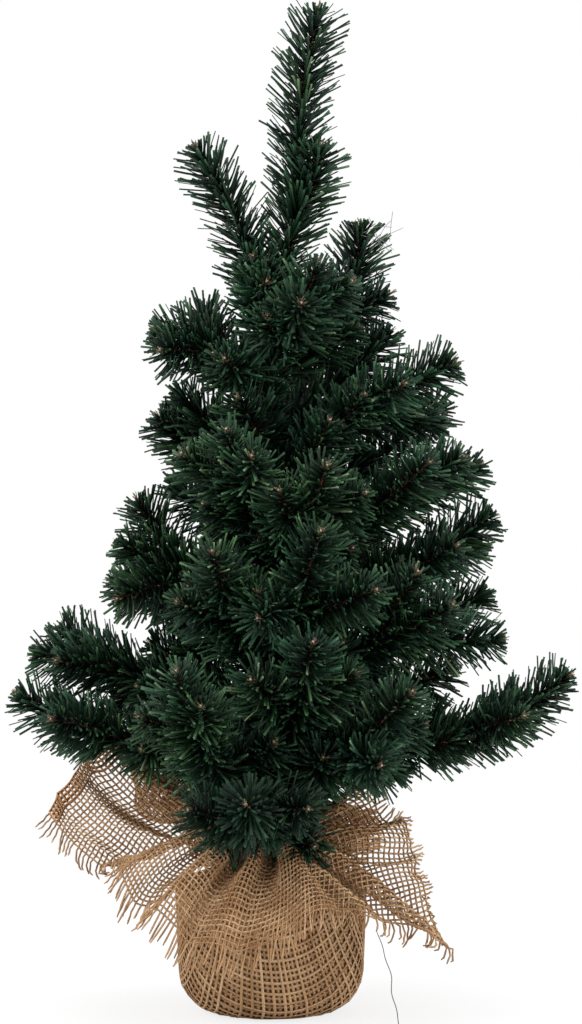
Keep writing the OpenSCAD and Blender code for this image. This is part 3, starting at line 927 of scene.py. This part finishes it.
burlap = {
    "low": (-0.235, -0.192),   # the flat sheet's edges, from the point under the middle of the base
    "high": (0.280, 0.192),
    "pitch": 0.0033,           # spacing of the threads
    "thread": 0.00068,         # radius of a thread
    "lift": 0.00045,           # how far a thread rises over the one that it crosses
    "pressed": 1.5,            # how wide the threads are pressed on the base,
    "pressedTo": (0.14, 0.20),  # and how far from the middle that ends
    "widest": 0.33,            # half the widest thread, as a share of its distance from the next,
    "narrowest": 0.5,          # and the narrowest, as a share of a thread that isn't pressed
    "coarse": 0.10,            # nearer the middle than this, threads are drawn with fewer points
    "tones": (0, 0.88),
    "evenTo": 0.05,            # the weave is even this far from the middle, where the base stands on it,
    "evenTurn": 277,           # and its front lies in this direction there, in degrees
    "dip": (68, 24, 0.016),    # direction, width and depth of the dip under a branch that bends down there
    "ruffleOver": 0.018,       # how far out and up the sheet goes where it leaves the neck,
    "ruffleUp": 0.010,
    "hangs": (0.7, 0.3, 0.06),   # how far out it stays where it hangs, what is added as it drops, up to
    "hangsBy": 0.65,           # this drop, and how far down it then goes before its edge
    "unmoved": (-136, -90, 110, 224),   # directions on the flat sheet whose edge isn't moved
    "moveGrowth": 1.5,         # how the edge's moves grow from the neck on
    "lay": 0.0014,             # gap between the ruffle and the base
    "neckLay": 0.002,
    "floor": 0.003,            # lowest place of the ruffle
}

folds = {                      # how the small cloth solver lets the ruffle out
    "rounds": 300,
    "deep": 0.012,
    "waves": ((8, 0.6, 1.0), (17, 2, 0.4)),   # count, start and share of the waves that it starts from
    "calm": (20, 60, 0.08),    # direction where the waves start to grow, over how far, and their least
    "freeFrom": 0.02,          # share of the ruffle that the neck holds
    "pull": 0.9,               # how fast neighbours that are too far apart come together, or part
    "press": 0.25,
    "shear": (0.10, 0.04),
    "bend": (0.30, 0.10),      # between every second and every fourth point
    "giveBy": 3,               # how fast the push grows away from the neck, and its least share
    "giveLeast": 0.05,
    "hold": 0.02,              # how strongly the start holds the sheet, and its rim
    "rimHold": 0.12,
    "keep": 0.9,               # share of the speed that is kept
    "sink": 0.00001,
}

fray = {
    "back": 3,                 # threads pulled out along each edge
    "front": 5,
    "right": 4,
    "wander": (0.0013, 0.0016, 0.0009),   # how far the ends go astray there
    "tassel": 5,               # threads whose ends are drawn together, and how far
    "drawn": 0.6,
    "drawnTurn": 1.7,          # how that differs from tassel to tassel
    "curve": 1.5,              # how the ends' wandering grows along them
}

hem = {                        # the strip that is folded over at the left and shows orange stitching
    "wide": 3,                 # threads
    "from": 0.72,              # share of the sheet's length where it starts
    "lifts": (0.0014, 0.0019),   # of its long and its short threads
    "tones": (0.94, 1),
}

# where directions of the flat sheet come to lie round the trunk, both in degrees: its corners are at
# the left, the right front and two at the back
sheetTurns = [(-135, 142), (-90, 164), (-48, 178), (-42, 184), (-36, 200), (-20, 224), (0, 258), (20, 290),
              (36, 320), (42, 335), (48, 348), (58, 372), (90, 386), (135, 404), (180, 450), (225, 502)]

# places on the flat sheet's edge, and where each comes to lie, in millimetres; a corner lies where its
# image point shows, at the depth given, and as far out again as its threads are pulled out
sheetCorners = [(280, -192, "burlapLeftCorner", -10, (-2, 0, 1)),
                (280, 192, "burlapRightCorner", -46, (9.4, 0, -13.3))]
sheetPins = [
    (280, -148, -102, -34, 82), (280, -129, -89, -42, 89), (280, -110, -98, -56, 81),
    (280, -79, -83, -64, 58), (280, -65, -71, -60, 64), (280, -52, -79, -74, 57),
    (280, -15, -54, -80, 35), (280, 18, -25, -84, 30), (280, 54, 9, -84, 41),
    (280, 82, 27, -80, 59), (280, 109, 46, -62, 57), (280, 158, 88, -52, 48),
    (258, 192, 97, -38, 53), (232, 192, 90, -26, 70), (202, 192, 88, -10, 87),
    (172, 192, 83, 8, 105), (142, 192, 72, 26, 119), (244, -192, -128, 14, 127),
    (207, -192, -114, 38, 147), (170, -192, -98, 58, 155)]


def cadProfile():  # the wrapped base's outside, from the middle of its underside to the top of the neck
    fullRing = 30      # least count of points of a ring that goes all round
    neckDeep = 0.014   # how far below the top the neck's rings begin
    level = 0.002      # rings this close in height lie one outside the other,
    further = 1e-5     # from this difference in width on
    wall = 0.001       # rings this close in width make the neck's outside
    points = np.array([v.co for v in frame["nodes"]["burlap_wrap"].data.vertices])
    r, z = np.hypot(points[:, 0], points[:, 1]), points[:, 2]
    unique = np.unique(np.round(points, 5), axis=0)
    rings = np.round(np.stack([np.hypot(unique[:, 0], unique[:, 1]), unique[:, 2]], 1), 4)
    rings, counts = np.unique(rings, axis=0, return_counts=True)
    rings = rings[counts >= fullRing]
    neckFrom = rings[:, 1].max() - neckDeep
    base, neck = rings[rings[:, 1] < neckFrom], rings[rings[:, 1] > neckFrom]

    def outside(ring):  # nothing lies further out at its height
        outer = (abs(base[:, 1] - ring[1]) < level) & (base[:, 0] > ring[0] + further)
        return ring[1] == 0 or not outer.any()

    wide = neck[:, 0].max()
    heights = neck[neck[:, 0] > wide - wall][:, 1]
    profile = np.array([(0, 0), *sorted(map(tuple, filter(outside, base)), key=lambda k: (k[1], k[0])),
                        (wide, heights.min()), (wide, heights.max())])
    return profile, ruffleEdge(points, r, z)


def ruffleEdge(points, r, z):  # how far out and how high the CAD's ruffle ends, in each direction
    every, within = 10, 1.5   # degrees
    turn = np.degrees(np.arctan2(points[:, 1], points[:, 0])) % 360
    edge = []
    for azimuth in range(0, 360, every):
        near = np.flatnonzero(abs((turn - azimuth + 180) % 360 - 180) < within)
        best = near[np.argmax(r[near])]
        edge.append((azimuth, r[best], z[best]))
    edge.append((360, *edge[0][1:]))
    return np.array(edge)


def flatSheet():
    # the flat sheet's points, one for every two threads: how far each lies from the middle, in which
    # direction, and how far out the sheet's edge is there
    low, high, first = np.array(burlap["low"]), np.array(burlap["high"]), sheetTurns[0][0]
    count = np.round((high - low) / (2 * burlap["pitch"])).astype(int) + 1
    a, b = np.meshgrid(*[np.linspace(*span) for span in zip(low, high, count)], indexing="ij")
    turn = (np.degrees(np.arctan2(b, a)) - first) % 360 + first
    c, s = np.cos(np.radians(turn)), np.sin(np.radians(turn))
    toEdge = np.minimum(np.where(c > 0, high[0], -low[0]) / np.maximum(abs(c), 1e-6),
                        np.where(s > 0, high[1], -low[1]) / np.maximum(abs(s), 1e-6))
    return np.hypot(a, b), turn, toEdge


def ruffleCurve(t, azimuth, edge, neck):  # how far out and how high the ruffle lies, a share t of its way
    reach = np.interp(azimuth, edge[:, 0], edge[:, 1])
    height = np.interp(azimuth, edge[:, 0], edge[:, 2])
    dipAt, dipWide, dipDeep = burlap["dip"]
    height -= dipDeep * np.exp(-((azimuth - dipAt) / dipWide) ** 2)
    neckR, neckZ = neck
    drop = np.maximum(0, neckZ - height)
    least, more, deepest = burlap["hangs"]
    nearR, nearZ = neckR + burlap["ruffleOver"], neckZ + burlap["ruffleUp"]
    farR = reach * (least + more * np.minimum(1, drop / deepest))
    farZ = height + burlap["hangsBy"] * drop
    return [start * (1 - t) ** 3 + 3 * t * (1 - t) ** 2 * p + 3 * t * t * (1 - t) * q + t ** 3 * end
            for start, p, q, end in ((neckR, nearR, farR, reach), (neckZ, nearZ, farZ, height))]


def sheetStart(profile, edge):
    # the sheet wrapped smoothly, before its folds: its points, how near the edge each is, its direction on
    # the flat sheet, and which points are held
    out, turn, toEdge = flatSheet()
    along = lengthsOf(profile)
    evenTo, evenTurn = burlap["evenTo"], burlap["evenTurn"]
    twist = np.clip((out - evenTo) / (along[-1] - evenTo), 0, 1)
    azimuth = turn + evenTurn + (np.interp(turn, *zip(*sheetTurns)) - turn - evenTurn) * twist
    t = np.clip((out - along[-1]) / (toEdge - along[-1]), 0, 1)
    r, z = ruffleCurve(t, azimuth % 360, edge, profile[-1])
    r = np.where(t > 0, r, np.interp(out, along, profile[:, 0]))
    z = np.where(t > 0, z, np.interp(out, along, profile[:, 1]))
    around = np.radians(azimuth)
    points = np.stack([r * np.cos(around), r * np.sin(around), z], -1)
    pins, moves = heldPlaces(points, turn)
    for axis in range(3):
        points[..., axis] += np.interp(turn, moves[:, 0], moves[:, axis + 1]) * t ** burlap["moveGrowth"]
    return points, t, turn, tuple(np.array(pins).T)


def heldPlaces(points, turn):  # the points that are held, and how far each of them has to move
    low, high = np.array(burlap["low"]), np.array(burlap["high"])
    pins, moves = [], [(direction, 0, 0, 0) for direction in burlap["unmoved"]]
    held = [(a, b, np.array(seenSpot(*imagePoints[name], deep)) + np.array(past) / 1000)
            for a, b, name, deep, past in sheetCorners]
    held += [(a, b, np.array((x, y, z)) / 1000) for a, b, x, y, z in sheetPins]
    for a, b, spot in held:
        share = (np.array((a, b)) / 1000 - low) / (high - low)
        i, j = np.round(share * (np.array(points.shape[:2]) - 1)).astype(int)
        pins.append((i, j))
        moves.append((turn[i, j], *(spot - points[i, j])))
    return pins, np.array(sorted(moves))


def sheetNormals(points):
    made = np.cross(np.gradient(points, axis=0), np.gradient(points, axis=1))
    return made / (np.linalg.norm(made, axis=-1, keepdims=True) + 1e-9)


def neighbourLinks(rows, columns):
    # pairs of points that share none: first, second, flat distance, pull when apart, push when close
    cell = 2 * burlap["pitch"]
    allRows, allColumns = np.arange(rows)[:, None], np.arange(columns)[None]
    links = []
    near, far = folds["bend"]
    for step, pull, push in ((1, folds["pull"], folds["press"]), (2, 0, near), (4, 0, far)):
        for part in range(2 * step):
            i = np.arange(part, rows - step, 2 * step)[:, None]
            j = np.arange(part, columns - step, 2 * step)[None]
            links.append(((i, allColumns), (i + step, allColumns), step * cell, pull, push))
            links.append(((allRows, j), (allRows, j + step), step * cell, pull, push))
    for over in (1, -1):
        j = np.arange(columns - 1)[None] if over == 1 else np.arange(1, columns)[None]
        for part in (0, 1):
            i = np.arange(part, rows - 1, 2)[:, None]
            links.append(((i, j), (i + 1, j + over), cell * math.sqrt(2), *folds["shear"]))
    return links


def keepOff(points, free, profile):  # keeps the sheet off the base, the neck and the floor
    wallR, wallZ = profile[-3]
    neckR, neckZ = profile[-2]
    clear = wallR + burlap["lay"]
    r, z = np.hypot(points[..., 0], points[..., 1]), points[..., 2]
    top = np.interp(r, [neckR, wallR, clear], [neckZ + burlap["neckLay"], wallZ + burlap["lay"], 0])
    inside = (r < clear) & (z < top) & (free > 0)
    rise = inside & (top - z < clear - r)
    points[..., 2] = np.where(rise, top, z)
    points[..., :2] *= np.where(inside & ~rise, clear / np.maximum(r, 1e-6), 1)[..., None]
    points[..., 2] = np.where(free > 0, np.maximum(points[..., 2], burlap["floor"]), points[..., 2])


def foldSheet(points, t, turn, pins, profile):
    # lets the gathered ruffle out to the sheet's flat size, so that it buckles into folds. Every pair of
    # neighbours is drawn to its flat distance, a little at a time, as the base and the floor hold it up.
    free = np.where(t > folds["freeFrom"], 1.0, 0.0)
    free[pins] = 0
    wave = sum(share * np.sin(np.radians(turn) * count + start) for count, start, share in folds["waves"])
    calmFrom, calmOver, calmLeast = folds["calm"]
    calm = np.clip((abs(turn) - calmFrom) / calmOver, calmLeast, 1)
    points = points + sheetNormals(points) * (folds["deep"] * t * wave * calm * free)[..., None]
    start = points.copy()
    rim = np.zeros(t.shape, bool)
    rim[0] = rim[-1] = rim[:, 0] = rim[:, -1] = True
    anchor = (np.where(rim, folds["rimHold"], folds["hold"]) * free)[..., None]
    give = np.clip(t * folds["giveBy"], folds["giveLeast"], 1) * calm
    links = neighbourLinks(*t.shape)
    before = points.copy()
    for _ in range(folds["rounds"]):
        speed = (points - before) * folds["keep"]
        before = points.copy()
        points = points + speed * free[..., None] + (start - points) * anchor
        points[..., 2] -= folds["sink"] * free
        for first, second, flat, pull, push in links:
            apart = points[second] - points[first]
            long = np.linalg.norm(apart, axis=-1)
            share = (long - flat) / np.maximum(long, 1e-6)
            share *= np.where(share > 0, pull, push * give[first])
            a, b = free[first], free[second]
            move = (share / np.maximum(a + b, 1))[..., None] * apart
            points[first] += move * a[..., None]
            points[second] -= move * b[..., None]
        keepOff(points, free, profile)
    return points


def finer(points):  # twice as many rows and columns, on smooth curves through the old ones
    for axis in (0, 1):
        p = np.moveaxis(points, axis, 0)
        ends = np.concatenate([2 * p[:1] - p[1:2], p, 2 * p[-1:] - p[-2:-1]])
        middle = (-ends[:-3] + 9 * ends[1:-2] + 9 * ends[2:-1] - ends[3:]) / 16
        made = np.empty((2 * len(p) - 1, *p.shape[1:]))
        made[::2], made[1::2] = p, middle
        points = np.moveaxis(made, 0, axis)
    return points


def threadMesh(name, lines, tones, radius, sides=3):
    # tubes along lines, each of them points, normals and how flat the thread is pressed; the ends of tubes
    # with three sides are closed
    endShare = 0.6   # thickness of a thread's ends
    points, faces, uvs = [], [], []
    start = 0
    ring = np.arange(sides)
    over, beside = np.cos(2 * np.pi * ring / sides), np.sin(2 * np.pi * ring / sides)
    for (line, normals, flat), tone in zip(lines, tones):
        way = np.gradient(line, axis=0)
        way /= np.linalg.norm(way, axis=1)[:, None] + 1e-12
        side = np.cross(way, normals)
        side /= np.linalg.norm(side, axis=1)[:, None] + 1e-12
        up = np.cross(side, way)
        side = side * flat[:, None]
        thick = np.full(len(line), radius)
        thick[[0, -1]] *= endShare
        rim = over[None, :, None] * up[:, None] + beside[None, :, None] * side[:, None]
        points.append((line[:, None] + thick[:, None, None] * rim).reshape(-1, 3))
        a = np.arange(len(line) - 1)[:, None] * sides + ring[None]
        b = np.arange(len(line) - 1)[:, None] * sides + (ring[None] + 1) % sides
        quads = np.stack([a, b, b + sides, a + sides], -1).reshape(-1, 4)
        last = (len(line) - 1) * sides
        caps = np.array([[0, 2, 1], [last, last + 1, last + 2]])
        mine = np.vstack([quads[:, [0, 1, 2]], quads[:, [0, 2, 3]], caps])
        faces.append(start + mine)
        start += len(line) * sides
        share = mine // sides / (len(line) - 1)
        uvs.append(np.stack([share, np.full(share.shape, tone)], -1).reshape(-1, 2))
    return meshFrom(name, np.vstack(points), np.vstack(faces), np.vstack(uvs))


def frayedEnd(line, normals, rng, loose, spread):  # lets the last points of a thread wander and curl
    line = line.copy()
    way = line[-1] - line[-2]
    way /= np.linalg.norm(way) + 1e-9
    side = np.cross(way, normals[-1])
    turn = rng.normal(0, spread)
    curl = rng.normal(0, spread)
    for i in range(1, loose + 1):
        line[i - loose - 1] += (side * turn + normals[-1] * curl) * (i / loose) ** fray["curve"]
    return line


def tasselled(line, points, j):  # draws a thread's front end towards the middle thread of its tassel
    rows, columns = points.shape[:2]
    front, size = fray["front"], fray["tassel"]
    tassel = j // size
    together = points[:, min(columns - 1, tassel * size + size // 2)]
    drawn = fray["drawn"] * abs(math.sin(tassel * fray["drawnTurn"]))
    for k in range(front + 1):
        at = rows - 1 - k
        line[at] += (together[at] - points[at, j]) * drawn * (1 - k / (front + 1))
    return line


def weave(points, rng):
    # plain weave: every other crossing is over. The outermost threads along each edge but the hemmed one are
    # pulled out, and the ends that are left there wander, or are drawn together into tassels.
    rows, columns = points.shape[:2]
    normals = sheetNormals(points)
    sign = (-1.0) ** np.add.outer(np.arange(rows), np.arange(columns))
    back, front, right = fray["back"], fray["front"], fray["right"]
    spans = zip(burlap["low"], burlap["high"], (rows, columns))
    away = np.hypot(*np.meshgrid(*[np.linspace(*span) for span in spans], indexing="ij"))
    acrossGap = np.linalg.norm(np.gradient(points, axis=1), axis=2)
    alongGap = np.linalg.norm(np.gradient(points, axis=0), axis=2)
    lines, tones = [], []

    def lay(line, lifted, at, gap, spread):  # keeps a thread, with fewer points where the base hides it
        far, apart = away[at], gap[at]
        keep = np.flatnonzero((far > burlap["coarse"]) | (np.arange(len(line)) % 2 == 0))
        flat = np.minimum(np.interp(far, burlap["pressedTo"], (burlap["pressed"], 1)),
                          burlap["widest"] * apart / burlap["thread"])
        flat = np.maximum(flat, burlap["narrowest"])
        lines.append(((line + lifted * normals[at])[keep], normals[at][keep], flat[keep]))
        tones.append(rng.uniform(*spread))

    for j in range(columns - right):  # threads from the back edge to the front edge
        line = points[:, j] + normals[:, j] * (sign[:, j] * burlap["lift"])[:, None]
        line = frayedEnd(line[::-1], normals[::-1, j], rng, back + 1, fray["wander"][0])[::-1]
        line = frayedEnd(line, normals[:, j], rng, front + 1, fray["wander"][1])
        line = tasselled(line, points, j)
        ends = rng.integers(0, 2, 2)
        part = slice(ends[0], rows - ends[1])
        lay(line[part], 0, (part, j), acrossGap, burlap["tones"])
    for i in range(back, rows - front):  # threads from the hemmed edge to the right edge
        line = points[i] - normals[i] * (sign[i] * burlap["lift"])[:, None]
        line = frayedEnd(line, normals[i], rng, right + 1, fray["wander"][2])
        part = slice(0, columns - rng.integers(0, 2))
        lay(line[part], 0, (i, part), alongGap, burlap["tones"])
    first = round(hem["from"] * rows)
    strip = slice(0, hem["wide"] + 1)
    for j in range(hem["wide"] + 1):
        at = (slice(first, rows - front), j)
        lay(points[at], hem["lifts"][0], at, acrossGap, hem["tones"])
    for i in range(first, rows - front):
        lay(points[i, strip], hem["lifts"][1], (i, strip), alongGap, hem["tones"])
    return lines, tones


def burlapMaterial():
    made, tree, shader = newMaterial("burlapFibre", 0.85, 0.2)
    tones = ramp(tree, (-650, 200), alongAndTone(tree)[1], [  # the hem's stitching has the last two tones
        (0.0, (0.36, 0.22, 0.115)), (0.5, (0.50, 0.33, 0.19)), (0.88, (0.62, 0.44, 0.28)),
        (0.94, (0.50, 0.29, 0.14)), (1.0, (0.60, 0.37, 0.20))])
    patchy = ramp(tree, (-450, -100), noise(tree, (-650, -100), 55, 3), [
        (0.3, (0.72, 0.62, 0.52)), (0.7, (1.1, 1.08, 1.05))])
    colour = mixColours(tree, (-200, 150), tones, patchy)
    fibres = noise(tree, (-650, -400), 1600, 4)
    streaks = ramp(tree, (-450, -400), fibres, [(0.3, (0.7, 0.66, 0.6)), (0.65, (1.12, 1.1, 1.08))])
    colour = mixColours(tree, (-50, 150), colour, streaks, 0.8)
    surface(tree, shader, colour, fibres, 0.6, 0.0003)
    return made


profile, ruffleRim = cadProfile()
folded = foldSheet(*sheetStart(profile, ruffleRim), profile)
print("sheet folded")
crossings = finer(folded)
standing = burlap["thread"] + burlap["lift"]  # the sheet stands on its threads
crossings[..., 2] = np.maximum(crossings[..., 2], standing)
threadLines, threadTones = weave(crossings, np.random.default_rng(seeds["weave"]))
cloth = threadMesh("burlap_weave", threadLines, threadTones, burlap["thread"])
dressed(cloth, "burlap_weave", burlapMaterial(), "base", ["burlap_wrap"])
print("burlap woven:", len(threadLines), "threads,", len(cloth.data.polygons), "faces")

looseThread = {
    "radius": 0.0003,
    "sides": 6,
    "tone": 0.05,
    "down": ((0.006, -0.004, -0.017), (0.009, -0.006, -0.034), (0.013, -0.009, -0.0508)),  # from its start
    "step": 0.0015,
    "waves": ((0, 0.0008, 17, 0), (1, 0.0006, 13, np.pi / 2)),   # axis, width, turn from end to end, start
}
towardsViewer = (0.0, -1.0, 0.0)


def plainThread(line):  # a thread that isn't pressed flat
    return line, np.tile(towardsViewer, (len(line), 1)), np.ones(len(line))


def greyThread():
    return grainMaterial("greyThread", [(0.35, (0.055, 0.052, 0.045)), (0.65, (0.16, 0.15, 0.13))],
                         rough=0.9, scale=1400, detail=4, strength=0.5, deep=0.0002, specular=0.1)


def makeLooseThread():  # the pulled thread that hangs off the sheet's right side onto the table
    tree = BVHTree.FromObject(cloth, bpy.context.evaluated_depsgraph_get())
    start = placeOn(tree, *imagePoints["looseThread"])
    places = [start] + [start + Vector(step) for step in looseThread["down"]]
    places[-1].z = looseThread["radius"]
    line = smoothLine(np.array(places), looseThread["step"])
    at = np.linspace(0, 1, len(line))
    for axis, wide, turn, begin in looseThread["waves"]:
        line[:, axis] += wide * np.sin(at * turn + begin) * np.sin(np.pi * at)
    tones = [looseThread["tone"]]
    thread = threadMesh("loose_thread", [plainThread(line)], tones, looseThread["radius"],
                        looseThread["sides"])
    dressed(thread, "loose_thread", greyThread(), "base")
    return thread, line


hangingThread, hangingLine = makeLooseThread()

filaments = {
    "radius": 0.0002,
    "tone": 0.9,
    "depth": 22,             # of the spot that they leave, in millimetres
    "around": 0.003,         # how far they start from it
    "long": 0.026,
    "uneven": (0.6, 1),
    "before": 0.45,          # share of their length that lies before that spot
    "arch": 0.002,
    "out": 0.3,              # how far they point to or from the viewer
    "step": 0.002,
    "turns": (12, 35, 58, 84, 110, 150, 330),   # directions in the picture's plane, in degrees
}


def paleFilament():
    return grainMaterial("paleFilament", [(0.35, (0.10, 0.13, 0.11)), (0.65, (0.30, 0.33, 0.30))],
                         rough=0.35, scale=300, detail=3, strength=0.2, deep=0.0001)


def makeFilaments():  # fine pale ends of plastic that stand out of the upper right branch
    rng = np.random.default_rng(seeds["filaments"])
    middle = np.array(seenSpot(*imagePoints["strayFilaments"], filaments["depth"]))
    lines = []
    for turn in filaments["turns"]:
        out = rng.uniform(-filaments["out"], filaments["out"])
        way = np.array((math.cos(math.radians(turn)), out, math.sin(math.radians(turn))))
        long = filaments["long"] * rng.uniform(*filaments["uneven"])
        start = middle + rng.normal(0, filaments["around"], 3) - way * long * filaments["before"]
        half = start + way * long * 0.5 + (0, 0, filaments["arch"])
        lines.append(plainThread(smoothLine([start, half, start + way * long], filaments["step"])))
    tones = np.full(len(lines), filaments["tone"])
    piece = threadMesh("stray_filaments", lines, tones, filaments["radius"])
    dressed(piece, "stray_filaments", paleFilament(), "top_branch_2")


makeFilaments()
print("loose thread and filaments made")


def cornersOf(ending):  # all corners of the pieces whose names end so
    found = [o for o in bpy.context.scene.objects if o.type == "MESH" and o.name.endswith(ending)]
    return np.concatenate([np.array([v.co for v in o.data.vertices]) for o in found])


def showing(points):  # those that nothing hides from the camera, or all where there are none
    before = 0.0004   # of the point itself
    eye = camera.matrix_world.translation
    graph = bpy.context.evaluated_depsgraph_get()
    kept = []
    for point in points:
        way = Vector(point) - eye
        if not bpy.context.scene.ray_cast(graph, eye, way.normalized(), distance=way.length - before)[0]:
            kept.append(point)
    return np.array(kept) if kept else points


def writePoints():  # where each thing shows in the image; nothing is compared with the image points or written out
    undersideTop = 0.004
    seen, woven = seenAt(cornersOf("_needle_strips")), cornersOf("burlap_weave")
    seenCloth, underside = seenAt(woven), seenAt(woven[woven[:, 2] < undersideTop])
    shows = {
        "leftmostNeedles": seen[seen[:, 0].argmin()],
        "rightmostNeedles": seen[seen[:, 0].argmax()],
        "topNeedles": seen[seen[:, 1].argmin()],
        "baseUnderside": underside[underside[:, 1].argmax()],
        "burlapLeftCorner": seenCloth[seenCloth[:, 0].argmin()],
        "burlapRightCorner": seenCloth[seenCloth[:, 0].argmax()],
        "looseThread": seenAt(hangingLine[:1])[0],
        "strayFilaments": seenAt(showing(cornersOf("stray_filaments"))).mean(0),
    }
    for name, body in (("leaderTip", "leader"), ("upperLeftTip", "top_branch_1"),
                       ("middleLeftTip", "upper_branch_5"), ("rightArmTip", "lower_branch_1")):
        shows[name] = seenAt(showing(cornersOf(body + "_wire_ends")[:stubCorners])).mean(0)


writePoints()
